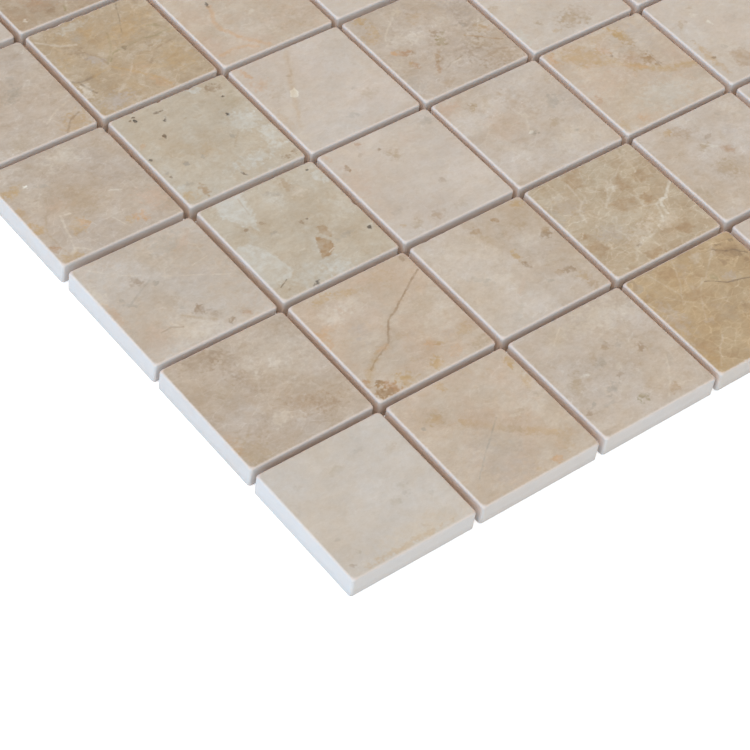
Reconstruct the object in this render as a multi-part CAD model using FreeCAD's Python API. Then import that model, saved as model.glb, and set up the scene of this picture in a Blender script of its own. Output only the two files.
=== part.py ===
import FreeCAD, Part
import os

# Cream marble mosaic sheet, 12 by 12 inches nominal: 36 square chips glued on a thin openwork net.
# Millimetres. +Z is up, out of the polished face. The origin is the centre of the sheet's underside.
# Row 1, column 1 is the chip at the -X, -Y corner; rows count along +Y and columns along +X.

# Driving dimensions of the sheet
sheet_module = 304.8
chips_per_side = 6
joint_width = 2.4

# Driving dimensions of one marble chip
chip_thickness = 8.0
plan_corner_radius = 1.0
arris_radius = 0.8

# How far each chip lies from its even place, row 1 first. The chips are laid by hand, so the joints inside
# the sheet are not quite even; the outermost chips stand against straight edges and keep the module.
laid_shift_x = [
    [0, 0.05, 0.15, -0.20, 0, 0],
    [0, -0.20, -0.15, -0.30, -0.30, 0],
    [0, 0.30, 0.20, -0.25, -0.20, 0],
    [0, 0.15, -0.10, -0.55, -0.60, 0],
    [0, 0.15, 0.15, 0, 0, 0],
    [0, 0, 0, 0, 0, 0],
]
laid_shift_y = [
    [0, 0, 0, 0, 0, 0],
    [-0.15, -0.10, -0.20, -0.15, 0.20, 0],
    [-0.55, -0.10, 0, -0.35, -0.10, 0],
    [-0.10, 0.20, -0.15, -0.45, -0.40, 0],
    [-0.35, 0.15, -0.25, 0, 0, 0],
    [0, 0, 0, 0, 0, 0],
]

# Driving dimensions of the backing net, which stops a little short of the sheet's edge: 60 meshes a side,
# split into panels of 20 by 20 meshes
net_thickness = 0.4
thread_spacing = 4.9
thread_width = 0.8
meshes_per_panel_side = 20
panels_per_side = 3

# Sizes that follow from them
chip_pitch = sheet_module / chips_per_side
chip_side = chip_pitch - joint_width
chip_underside = net_thickness
chip_top = net_thickness + chip_thickness
panel_pitch = meshes_per_panel_side * thread_spacing
mesh_opening = thread_spacing - thread_width


def grid_place(index, count, pitch):
    """Centre of one of a row of evenly pitched pieces that is itself centred on zero."""
    return (index - (count - 1) / 2) * pitch


def chip(centre_x, centre_y):
    """A sawn chip: a square slab with rounded plan corners and its four top arrises eased."""
    corner = FreeCAD.Vector(centre_x - chip_side / 2, centre_y - chip_side / 2, chip_underside)
    slab = Part.makeBox(chip_side, chip_side, chip_thickness, corner)
    upright_edges = [edge for edge in slab.Edges if edge.BoundBox.ZLength > chip_thickness / 2]
    slab = slab.makeFillet(plan_corner_radius, upright_edges)
    top_edges = [edge for edge in slab.Edges if edge.BoundBox.ZMin > chip_top - arris_radius / 2]
    return slab.makeFillet(arris_radius, top_edges)


def outline(x_start, x_end, y_start, y_end):
    """A rectangle in the plane of the sheet's underside, drawn anticlockwise as a face's outer edge is."""
    corners = [(x_start, y_start), (x_end, y_start), (x_end, y_end), (x_start, y_end), (x_start, y_start)]
    return Part.makePolygon([FreeCAD.Vector(x, y, 0) for x, y in corners])


def hole(x_start, x_end, y_start, y_end):
    """A rectangle in the same plane drawn clockwise, as a hole in a face is."""
    corners = [(x_start, y_start), (x_start, y_end), (x_end, y_end), (x_end, y_start), (x_start, y_start)]
    return Part.makePolygon([FreeCAD.Vector(x, y, 0) for x, y in corners])


def panel_span(index):
    """Where a panel begins and ends: through the middle of a thread, or at the net's outer edge."""
    centre = grid_place(index, panels_per_side, panel_pitch)
    start = centre - panel_pitch / 2
    end = centre + panel_pitch / 2
    if index == 0:
        start -= thread_width / 2
    if index == panels_per_side - 1:
        end += thread_width / 2
    return start, end


def mesh_span(panel_index, mesh_index):
    """Where one open mesh begins and ends, between its two threads."""
    panel_centre = grid_place(panel_index, panels_per_side, panel_pitch)
    mesh_centre = panel_centre + grid_place(mesh_index, meshes_per_panel_side, thread_spacing)
    return mesh_centre - mesh_opening / 2, mesh_centre + mesh_opening / 2


def net_panel(column, row):
    """A panel of the net: crossing threads fused where they cross, as one flat face made thick."""
    meshes = [
        hole(*mesh_span(column, mesh_column), *mesh_span(row, mesh_row))
        for mesh_row in range(meshes_per_panel_side)
        for mesh_column in range(meshes_per_panel_side)
    ]
    outer_edge = outline(*panel_span(column), *panel_span(row))
    return Part.Face([outer_edge] + meshes).extrude(FreeCAD.Vector(0, 0, net_thickness))


def write(shape, name):
    """One solid, one file, and one printed line to check it by."""
    assert shape.isValid() and len(shape.Solids) == 1, name
    shape.Solids[0].exportStep("parts/" + name + ".step")
    print(name, round(shape.Volume, 1), "mm3")


os.makedirs("parts", exist_ok=True)

for row in range(chips_per_side):
    for column in range(chips_per_side):
        centre_x = grid_place(column, chips_per_side, chip_pitch) + laid_shift_x[row][column]
        centre_y = grid_place(row, chips_per_side, chip_pitch) + laid_shift_y[row][column]
        write(chip(centre_x, centre_y), "chip_r%d_c%d" % (row + 1, column + 1))

for row in range(panels_per_side):
    for column in range(panels_per_side):
        write(net_panel(column, row), "net_r%d_c%d" % (row + 1, column + 1))
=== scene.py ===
# %% [markdown]
# # A marble mosaic sheet
# The real sheet is thirty-six sawn chips of cream marble, glued face up on a thin net of glass thread, so
# that a whole square foot can be laid at once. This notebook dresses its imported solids. Each chip is made
# again as a finer surface, with the small knocks and pits that sawn stone has, and each gets a stone of its
# own. The net is made again as woven threads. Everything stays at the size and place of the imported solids.

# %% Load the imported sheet
import bpy
import numpy as np
from mathutils import Matrix, Vector


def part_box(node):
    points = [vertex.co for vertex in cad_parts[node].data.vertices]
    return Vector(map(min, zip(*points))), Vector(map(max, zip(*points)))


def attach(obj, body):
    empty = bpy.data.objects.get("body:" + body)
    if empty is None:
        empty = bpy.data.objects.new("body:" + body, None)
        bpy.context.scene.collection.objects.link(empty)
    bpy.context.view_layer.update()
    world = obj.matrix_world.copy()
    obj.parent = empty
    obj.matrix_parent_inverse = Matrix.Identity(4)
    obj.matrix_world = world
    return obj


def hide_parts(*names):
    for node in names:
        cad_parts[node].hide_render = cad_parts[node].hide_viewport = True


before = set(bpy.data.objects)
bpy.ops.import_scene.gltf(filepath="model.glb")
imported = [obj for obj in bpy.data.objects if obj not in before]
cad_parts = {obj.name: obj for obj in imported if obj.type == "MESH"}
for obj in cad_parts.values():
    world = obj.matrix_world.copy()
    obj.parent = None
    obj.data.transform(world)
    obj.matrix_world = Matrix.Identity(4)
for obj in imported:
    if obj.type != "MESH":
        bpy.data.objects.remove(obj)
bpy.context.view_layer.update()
MM = 0.001

# %% [markdown]
# ## Two small helpers
# A shader is a tree of nodes, and every tree here is built by one function that adds a node, sets its
# menus and fills its sockets, either with a value or with the output of another node. Colours are written
# as the hex values that a screen shows, and a shader works in linear light, so a second function converts
# them by the sRGB curve.

# %% Helpers for shaders
def linear(colour):
    """Hex sRGB to linear: below 0.04045 a straight line over 12.92, above it a power of 2.4."""
    parts = np.array([int(colour[i:i + 2], 16) for i in (0, 2, 4)]) / 255
    light = np.where(parts <= 0.04045, parts / 12.92, ((parts + 0.055) / 1.055) ** 2.4)
    return (*light.tolist(), 1.0)


def add(tree, kind, settings=None, sockets=None):
    """Adds one node. A socket's value may be a number, a colour, a node (its first output) or an output."""
    node = tree.nodes.new("ShaderNode" + kind)
    for name, value in (settings or {}).items():
        setattr(node, name, value)
    for name, value in (sockets or {}).items():
        if isinstance(value, bpy.types.Node):
            value = value.outputs[0]
        if isinstance(value, bpy.types.NodeSocket):
            tree.links.new(value, node.inputs[name])
        else:
            node.inputs[name].default_value = value
    return node


def new_tree(name):
    """A material with an empty tree."""
    material = bpy.data.materials.new(name)
    material.use_nodes = True
    material.node_tree.nodes.clear()
    return material, material.node_tree


print("the hex grey 808080 in linear light:", round(linear("808080")[0], 3))

# %% [markdown]
# ## The camera
# The picture is a close view down onto one corner of the sheet through a long lens, and the camera is
# turned a little about its own axis. The view is given by where the lens points on the sheet's face, how
# far away it stands, its bearing and height, and its turn. The lens follows from the width of the picture.

# %% Camera
AIM = Vector((-94.6, -90.4, 8.4)) * MM
DISTANCE = 838.0 * MM
BEARING = np.radians(45.84)
ELEVATION = np.radians(47.41)
TURN = np.radians(9.99)
LENS_MM = 127.2

forward = Vector((
    np.sin(BEARING) * np.cos(ELEVATION),
    np.cos(BEARING) * np.cos(ELEVATION),
    -np.sin(ELEVATION),
))
level_right = forward.cross(Vector((0, 0, 1))).normalized()
level_up = level_right.cross(forward)
right = level_right * np.cos(TURN) + level_up * np.sin(TURN)
up = right.cross(forward)

camera = bpy.data.objects.new("camera", bpy.data.cameras.new("camera"))
camera.data.lens = LENS_MM
camera.data.sensor_width = 36
camera.data.clip_start = 0.01
place = Matrix((right, up, -forward)).transposed().to_4x4()
place.translation = AIM - forward * DISTANCE
camera.matrix_world = place
bpy.context.scene.collection.objects.link(camera)
bpy.context.scene.camera = camera
print("camera at, mm:", [round(value / MM) for value in place.translation])

# %% [markdown]
# ## The floor and the light
# The sheet was photographed on white, in soft light without a single hard shadow. The light from overhead
# is a little warm, and a window low on the left is cool and strong, so the sawn edges on that side read
# pale blue while the joints, which only see what is overhead, read brown.
#
# Lamps would need several large ones to do this. A room whose light depends on the direction does it with
# no lamp. A little comes from all round. A warm light gathers high on the left and reaches down into the
# joints, a cool one lies low on the left, and one in front stands half high, so that it lights the tops of
# the joints' walls and leaves their feet dark. The white floor is the background and throws light back onto
# the edges. It has a little light of its own, and more as the camera sees it, so that it reaches white and
# still keeps the shadow under the sheet.

# %% Floor
FLOOR_HALF = 3.0
FLOOR_GAP = 0.05 * MM
FLOOR_PAINT = "f3f3f3"
OWN_LIGHT = 0.06
OWN_LIGHT_SEEN = 0.5

floor_corners = np.array([(-1, -1), (1, -1), (1, 1), (-1, 1)]) * FLOOR_HALF
floor_mesh = bpy.data.meshes.new("floor")
floor_mesh.from_pydata([(x, y, -FLOOR_GAP) for x, y in floor_corners], [], [(0, 1, 2, 3)])
floor = bpy.data.objects.new("floor", floor_mesh)
bpy.context.scene.collection.objects.link(floor)

material, tree = new_tree("white floor")
path = add(tree, "LightPath")
paint = add(tree, "BsdfDiffuse", None, {"Color": linear(FLOOR_PAINT)})
own_light = add(tree, "MapRange", None,
                {"Value": path.outputs["Is Camera Ray"], "To Min": OWN_LIGHT, "To Max": OWN_LIGHT_SEEN})
glow = add(tree, "Emission", None, {"Color": (1, 1, 1, 1), "Strength": own_light})
lit = add(tree, "AddShader", None, {0: paint, 1: glow})
add(tree, "OutputMaterial", None, {"Surface": lit})
floor_mesh.materials.append(material)
print("floor, m:", 2 * FLOOR_HALF, "square")

# %% The room: linear light by direction. A light's share is how far the direction faces it, times one less
# the height, times the height to a power.
EVEN_LIGHT = (0.2, 0.2, 0.2)
KEY_LIGHT = (3.18, 1.88, 0.835)
KEY_FROM = (-0.5, 0, 0.866)
KEY_POWER = 8.0
LEFT_LIGHT = (0.34, 2.17, 3.96)
LEFT_LIFT = 0.0
FRONT_LIGHT = (7.4, 9.8, 10.6)
FRONT_LIFT = 2.0

world = bpy.data.worlds.new("soft room")
world.use_nodes = True
bpy.context.scene.world = world
tree = world.node_tree
tree.nodes.clear()
direction = add(tree, "TexCoord").outputs["Generated"]
height = add(tree, "SeparateXYZ", None, {0: direction}).outputs["Z"]
below_top = add(tree, "Math", {"operation": "SUBTRACT"}, {0: 1.0, 1: height})
toward_key = add(tree, "VectorMath", {"operation": "DOT_PRODUCT"}, {0: direction, 1: KEY_FROM})
toward_key = add(tree, "Math", {"operation": "MAXIMUM"}, {0: toward_key.outputs["Value"], 1: 0.0})
share = add(tree, "Math", {"operation": "POWER"}, {0: toward_key, 1: KEY_POWER})
total = add(tree, "VectorMath", {"operation": "SCALE"}, {0: KEY_LIGHT, "Scale": share})
total = add(tree, "VectorMath", {"operation": "ADD"}, {0: total, 1: EVEN_LIGHT})
for toward, light, lift in (((-1, 0, 0), LEFT_LIGHT, LEFT_LIFT), ((0, -1, 0), FRONT_LIGHT, FRONT_LIFT)):
    facing = add(tree, "VectorMath", {"operation": "DOT_PRODUCT"}, {0: direction, 1: toward})
    facing = add(tree, "Math", {"operation": "MAXIMUM"}, {0: facing.outputs["Value"], 1: 0.0})
    share = add(tree, "Math", {"operation": "MULTIPLY"}, {0: facing, 1: below_top})
    raised = add(tree, "Math", {"operation": "POWER"}, {0: height, 1: lift})
    share = add(tree, "Math", {"operation": "MULTIPLY"}, {0: share, 1: raised})
    colour = add(tree, "VectorMath", {"operation": "SCALE"}, {0: light, "Scale": share})
    total = add(tree, "VectorMath", {"operation": "ADD"}, {0: total, 1: colour})
path = add(tree, "LightPath")
seen = add(tree, "Math", {"operation": "MAXIMUM"},
           {0: path.outputs["Is Camera Ray"], 1: path.outputs["Is Glossy Ray"]})
room = add(tree, "Background", None, {"Color": total, "Strength": 1.0})
white = add(tree, "Background", None, {"Color": (1, 1, 1, 1), "Strength": 1.0})
both = add(tree, "MixShader", None, {0: seen, 1: room, 2: white})
add(tree, "OutputWorld", None, {"Surface": both})

bpy.context.scene.view_settings.view_transform = "Standard"
print("the room's light is a tree of", len(tree.nodes), "nodes")

# %% [markdown]
# ## The shape of a chip
# A chip is sawn square, about eight millimetres thick, and its top arris has been eased on a belt. In the
# hand that arris is never quite even: it wanders by a few hundredths of a millimetre and has small knocks,
# where the stone broke away as it was sawn or packed.
#
# A subdivided cube with a bevel would give the even arris, and sculpting would give the knocks. A profile
# carried round the chip's outline gives both by formula. The profile starts at the middle of the underside,
# climbs the sawn side, rolls over the arris as a quarter circle and runs in to the middle of the top. The
# circle's radius may change from place to place round the chip, and that is the wander and the knocks.

# %% The outline that the profile is carried round
CHIP_SIDE = 48.4
HALF = CHIP_SIDE / 2
CORNER_RADIUS = 1.0
TOP_CORNER_RADIUS = 1.7
SIDE_STEPS = 84
CORNER_STEPS = 8

side_places = np.linspace(-1, 1, SIDE_STEPS, endpoint=False)
corner_angles = np.linspace(0, np.pi / 2, CORNER_STEPS, endpoint=False)
ON_CORNER = np.tile(np.repeat([False, True], [SIDE_STEPS, CORNER_STEPS]), 4)
ALONG = np.tile(np.concatenate([side_places, np.ones(CORNER_STEPS)]), 4)
ANGLE = np.tile(np.concatenate([np.zeros(SIDE_STEPS), corner_angles]), 4)
QUARTER = np.repeat(np.arange(4) * np.pi / 2, SIDE_STEPS + CORNER_STEPS)
PLACES = len(ALONG)


def ring(inset, corner):
    """The chip's outline at an inset from its faces, which may change from place to place, with its corners
    rounded to a radius. On a side, one coordinate is the half side less the inset and the other runs along.
    On a corner, both are the corner circle's centre plus its radius times cosine and sine of the angle.
    The side that faces +X is made first, and the other three are quarter turns of it."""
    reach = HALF - inset
    x = np.where(ON_CORNER, reach - corner + corner * np.cos(ANGLE), reach)
    y = np.where(ON_CORNER, reach - corner + corner * np.sin(ANGLE), ALONG * (HALF - inset.mean() - corner))
    return np.stack([x * np.cos(QUARTER) - y * np.sin(QUARTER), x * np.sin(QUARTER) + y * np.cos(QUARTER)], 1)


edge = ring(np.zeros(PLACES), CORNER_RADIUS)
steps_round = np.linalg.norm(np.roll(edge, -1, axis=0) - edge, axis=1)
AROUND = np.concatenate([[0], np.cumsum(steps_round)[:-1]])
PERIMETER = steps_round.sum()
print("places round a chip:", PLACES, "perimeter, mm:", round(PERIMETER, 1))

# %% [markdown]
# The knocks are of two kinds. Small ones are scattered over every chip by a seeded generator. The few that
# are large enough to tell one chip from another are listed, by the side they are on, how far along
# it they are, how long and how deep. Sides are numbered from the one that faces +X, anticlockwise.

# %% The arris, the knocks and the pits
ARRIS_RADIUS = 0.8
WANDER = 0.06
WANDER_WAVES = (3, 8, 19)
SMALL_KNOCKS = 14
SMALL_KNOCK_LENGTHS = (0.8, 2.6)
SMALL_KNOCK_DEPTHS = (0.04, 0.22)
KNOCK_ROUGHNESS = 0.25
KNOCK_RADIANS_PER_MM = 5.1
DEEPEST = 1.0
DEEPEST_AT_CORNER = 0.3
DEEPER_PER_MM = 0.6
FULL_TURN = 6.3

# chip: (side, distance along it in mm, length in mm, depth in mm)
KNOCKS = {
    "r3_c2": [(0, 23.5, 2.6, 0.75)],
    "r4_c1": [(0, 45.2, 2.8, 0.8), (0, 30.0, 1.6, 0.35)],
    "r4_c2": [(1, 26.5, 1.8, 0.7), (1, 13.2, 2.4, 0.55), (1, 38.0, 1.4, 0.4)],
    "r5_c2": [(1, 35.5, 4.2, 0.8), (1, 29.0, 3.0, 0.7), (1, 21.5, 4.0, 0.45), (1, 39.5, 2.0, 0.5)],
    "r3_c5": [(1, 2.0, 2.5, 0.7)],
    "r2_c3": [(1, 40.5, 2.6, 0.55), (1, 33.0, 1.6, 0.3)],
    "r3_c1": [(3, 18.0, 1.2, 0.3)],
    "r1_c3": [(0, 6.0, 1.6, 0.35), (1, 9.0, 1.5, 0.3)],
    "r4_c3": [(0, 40.0, 2.0, 0.4)],
}

# chip: (x, y, radius, depth), in mm from the chip's corner nearest to the sheet's first corner
# each pit also has a dark, umber or brown spot among its chip's stains, which is painted shade inside it
PITS = {
    "r4_c2": [(7.8, 43.7, 0.6, 0.3), (8.5, 45.3, 0.45, 0.15), (17.0, 43.4, 0.6, 0.2),
              (18.4, 43.6, 0.5, 0.15), (17.7, 39.5, 0.55, 0.25), (12.3, 32.6, 0.5, 0.15),
              (1.9, 25.5, 0.55, 0.3), (3.1, 15.2, 0.45, 0.15),
              (37.5, 30.5, 0.5, 0.25), (41.8, 38.8, 0.55, 0.3), (24.7, 3.7, 0.45, 0.15)],
    "r3_c2": [(45.3, 12.3, 0.6, 0.3), (44.2, 45.5, 0.5, 0.2), (27.4, 26.6, 0.45, 0.12),
              (30.1, 26.6, 0.45, 0.15)],
}


def arris_radius(label, generator):
    """Radius of the arris at each place: a slow wander made of three waves round the chip, plus for each
    knock its depth times exp(-(distance / half length) ** 4), roughened by a fast wave. Near a corner the
    depth is limited, so that the outline never folds over itself."""
    turn = 2 * np.pi * AROUND / PERIMETER
    waves = [np.sin(turn * count + generator.uniform(0, FULL_TURN)) for count in WANDER_WAVES]
    radius = ARRIS_RADIUS * (1 + WANDER * np.mean(waves, axis=0))
    starts = generator.uniform(0, PERIMETER, SMALL_KNOCKS)
    lengths = generator.uniform(*SMALL_KNOCK_LENGTHS, SMALL_KNOCKS)
    depths = generator.uniform(*SMALL_KNOCK_DEPTHS, SMALL_KNOCKS) * generator.uniform(0.3, 1.0, SMALL_KNOCKS)
    knocks = list(zip(starts, lengths, depths))
    for side, along, length, depth in KNOCKS.get(label, []):
        knocks.append((side * PERIMETER / 4 + along, length, depth))
    rough = 1 + KNOCK_ROUGHNESS * np.sin(AROUND * KNOCK_RADIANS_PER_MM + generator.uniform(0, FULL_TURN))
    for start, length, depth in knocks:
        away = np.abs((AROUND - start + PERIMETER / 2) % PERIMETER - PERIMETER / 2)
        radius = radius + depth * rough * np.exp(-(away / (length / 2)) ** 4)
    to_corner = np.where(ON_CORNER, 0, (1 - np.abs(ALONG)) * HALF)
    deepest = np.minimum(DEEPEST, DEEPEST_AT_CORNER + DEEPER_PER_MM * to_corner)
    return np.minimum(radius, ARRIS_RADIUS + deepest)


def pit_depth(label, x, y):
    """How far the top is sunk at a place: for each pit its depth times (1 - (distance / radius) squared),
    and nothing outside its rim."""
    sunk = np.zeros_like(x)
    for pit_x, pit_y, radius, depth in PITS.get(label, []):
        away = np.hypot(x - pit_x, y - pit_y) / radius
        sunk = np.maximum(sunk, depth * np.clip(1 - away ** 2, 0, None))
    return sunk


print("drawn by hand:", sum(map(len, KNOCKS.values())), "knocks,", sum(map(len, PITS.values())), "pits")

# %% [markdown]
# The rings of the profile, one above another, make a grid: each place round the outline by each ring.
# Neighbouring rings are joined by quads and the two middles are closed by fans of triangles. The top has
# few rings where it is plain and many where it has pits to show, and the knocked edge is evened out over
# the first few. Each vertex also keeps one number, its polish: one on the polished face, a little less along
# its rim, and falling over the arris to nothing, where the stone is only ground or sawn. The stone's
# material reads it.

# %% One chip's surface
UNDERSIDE_INSET = 12.0
EDGE_CHAMFER = 0.15
MID_SIDE = 3.5
JUST_UNDER = 1.02
ARRIS_STEPS = 6
POLISH_FROM = 40
EDGE_POLISH = 0.8
RIM_WIDTH = 0.25
EVEN_FROM = 0.08
PLAIN_TOP_RINGS = (0.012, 0.035, 0.08, 0.16, 0.28, 0.44, 0.64, 0.84)
PITTED_TOP_RINGS = (0.012, *np.linspace(0, 1, 36)[1:-1])


def ring_faces(rings, around):
    """Quads between rings, then a fan onto the vertex before the first ring and one after the last."""
    j = np.arange(around)
    k = (j + 1) % around
    base = 1 + np.arange(rings - 1)[:, None] * around
    quads = np.stack([base + j, base + k, base + around + k, base + around + j], -1).reshape(-1, 4)
    last = 1 + (rings - 1) * around
    bottom = np.stack([np.zeros_like(j), 1 + k, 1 + j], 1)
    top = np.stack([last + j, last + k, np.full_like(j, 1 + rings * around)], 1)
    return quads.tolist() + bottom.tolist() + top.tolist()


def chip_mesh(label, low, high, seed):
    """A mesh in metres for the chip whose solid reaches from low to high (mm)."""
    generator = np.random.default_rng(seed)
    middle = (low[:2] + high[:2]) / 2
    under, top = low[2], high[2]
    radius = arris_radius(label, generator)
    none = np.zeros_like(radius)

    rings = [ring(none + UNDERSIDE_INSET, CORNER_RADIUS), ring(none + EDGE_CHAMFER, CORNER_RADIUS)]
    rings += [ring(none, CORNER_RADIUS)] * 3
    heights = [none + under, none + under, none + under + EDGE_CHAMFER, none + under + MID_SIDE]
    heights.append(top - radius * JUST_UNDER)
    polish = [none] * 5
    for turn in np.linspace(0, np.pi / 2, ARRIS_STEPS + 1):
        corner = CORNER_RADIUS + (TOP_CORNER_RADIUS - CORNER_RADIUS) * np.sin(turn)
        rings.append(ring(radius * (1 - np.cos(turn)), corner))
        heights.append(top - radius * (1 - np.sin(turn)))
        shine = (np.degrees(turn) - POLISH_FROM) / (90 - POLISH_FROM)
        polish.append(none + EDGE_POLISH * np.clip(shine, 0, 1))
    flat_edge = rings[-1]
    even_edge = ring(none + ARRIS_RADIUS, TOP_CORNER_RADIUS)
    for inward in PITTED_TOP_RINGS if label in PITS else PLAIN_TOP_RINGS:
        even = min(1.0, inward / EVEN_FROM)
        rings.append((flat_edge * (1 - even) + even_edge * even) * (1 - inward))
        heights.append(none + top)
        polish.append(none + 1 - (1 - EDGE_POLISH) * np.exp(-inward * HALF / RIM_WIDTH))

    plan = np.concatenate(rings)
    height = np.concatenate(heights)
    shine = np.concatenate(polish)
    on_top = shine > EDGE_POLISH
    sunk = pit_depth(label, plan[:, 0] + CHIP_SIDE / 2, plan[:, 1] + CHIP_SIDE / 2)
    height = height - np.where(on_top, sunk, 0)

    points = np.column_stack([plan + middle, height])
    points = np.vstack([[*middle, under], points, [*middle, top]])
    shine = np.concatenate([[0], shine, [1]])
    mesh = bpy.data.meshes.new("chip_" + label)
    mesh.from_pydata((points * MM).tolist(), [], ring_faces(len(rings), PLACES))
    mesh.attributes.new("polish", "FLOAT", "POINT").data.foreach_set("value", shine.astype(np.float32))
    mesh.shade_smooth()
    return mesh


# %% [markdown]
# ## The stone
# Cream marble is a limestone that was pressed and healed: a pale ground with clouds of rose, tan and grey,
# fine mottling, hairlines that have healed pale, stains of iron along old cracks, and in the brown beds a
# crackle of broken pieces in lighter cement. The face is ground and polished, which darkens and warms it,
# and the sawn side is rougher, paler and matt, because each scratch scatters white light.
#
# Painting each chip would give all of this once. Here it is built from layers, so that it also holds close
# up. A layer is a noise of one size in millimetres, turned into a soft mask, that mixes in one colour. A
# stone is a ground colour, how lively its grain is, and its list of layers. The pattern is moved for each
# chip, as if it came from another part of the block.

# %% Colours and layers of the stones
TINTS = {
    "white": "e3ded2", "milk": "cac7be", "pale": "d3c8b8", "cream": "cbbda9", "grey": "a89f92",
    "lilac": "b9ada2", "rose": "c6ac96", "tan": "b19d82", "ochre": "ba9c6f", "orange": "c7a27c",
    "rust": "ad8662", "brown": "947b5f", "clast": "a58763", "olive": "9c8d6a", "umber": "6e5b45",
    "dark": "51483e",
}

# stone: ground colour, strength of the grain, how broken it is, then layers of (size in mm, mask from,
# mask to, tint, amount)
STONES = {
    "ivory": ("c9c1b7", 0.7, 0.15, [(16, 0.45, 0.65, "cream", 0.16), (5, 0.52, 0.70, "grey", 0.10)]),
    "pale_cream": ("c8bdb1", 0.8, 0.4, [
        (18, 0.45, 0.65, "rose", 0.16), (8, 0.50, 0.70, "pale", 0.25), (3, 0.54, 0.72, "tan", 0.20)]),
    "beige": ("c5b8aa", 1.0, 0.7, [
        (20, 0.45, 0.62, "tan", 0.30), (9, 0.50, 0.68, "pale", 0.30), (3.2, 0.52, 0.68, "tan", 0.30),
        (6, 0.55, 0.70, "grey", 0.16)]),
    "rose_beige": ("c3b4a2", 1.0, 0.6, [
        (17, 0.42, 0.62, "rose", 0.30), (8, 0.50, 0.68, "pale", 0.30), (3.5, 0.54, 0.70, "ochre", 0.20),
        (6, 0.55, 0.70, "orange", 0.16)]),
    "green_beige": ("c0b5a3", 1.0, 0.6, [
        (18, 0.45, 0.62, "tan", 0.30), (8, 0.52, 0.68, "milk", 0.30), (3.2, 0.52, 0.68, "tan", 0.25)]),
    "grey_tan": ("beb0a1", 1.1, 1.0, [
        (19, 0.42, 0.62, "tan", 0.30), (8, 0.50, 0.68, "pale", 0.22), (3.2, 0.50, 0.68, "brown", 0.16)]),
    "clouded_tan": ("b5a288", 1.2, 1.2, [
        (15, 0.42, 0.60, "tan", 0.30), (7, 0.48, 0.64, "ochre", 0.25), (3, 0.50, 0.66, "brown", 0.20),
        (5, 0.52, 0.66, "pale", 0.30)]),
    "deep_tan": ("b09d87", 1.2, 1.2, [
        (15, 0.42, 0.60, "tan", 0.30), (7, 0.48, 0.64, "rust", 0.20), (3, 0.50, 0.66, "brown", 0.24),
        (5, 0.52, 0.68, "pale", 0.25)]),
    "brown_breccia": ("bcac94", 1.2, 1.9, [
        (11, 0.46, 0.60, "clast", 0.24), (4.5, 0.50, 0.64, "clast", 0.22)]),
    "golden_breccia": ("b59e7d", 1.2, 2.0, [
        (13, 0.46, 0.62, "ochre", 0.22), (4.5, 0.50, 0.64, "clast", 0.22), (9, 0.56, 0.68, "lilac", 0.25)]),
}

# rows from the first corner along +Y; the last two rows and columns are partly or wholly out of the picture
LAYOUT = [
    "ivory rose_beige beige golden_breccia pale_cream beige",
    "grey_tan rose_beige beige brown_breccia beige pale_cream",
    "beige green_beige pale_cream beige rose_beige pale_cream",
    "grey_tan green_beige pale_cream grey_tan pale_cream beige",
    "grey_tan clouded_tan rose_beige pale_cream brown_breccia rose_beige",
    "pale_cream deep_tan beige golden_breccia pale_cream grey_tan",
]

# %% How the chips are laid
for stone in STONES:
    print(stone, sum(row.split().count(stone) for row in LAYOUT), "chips")
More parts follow.
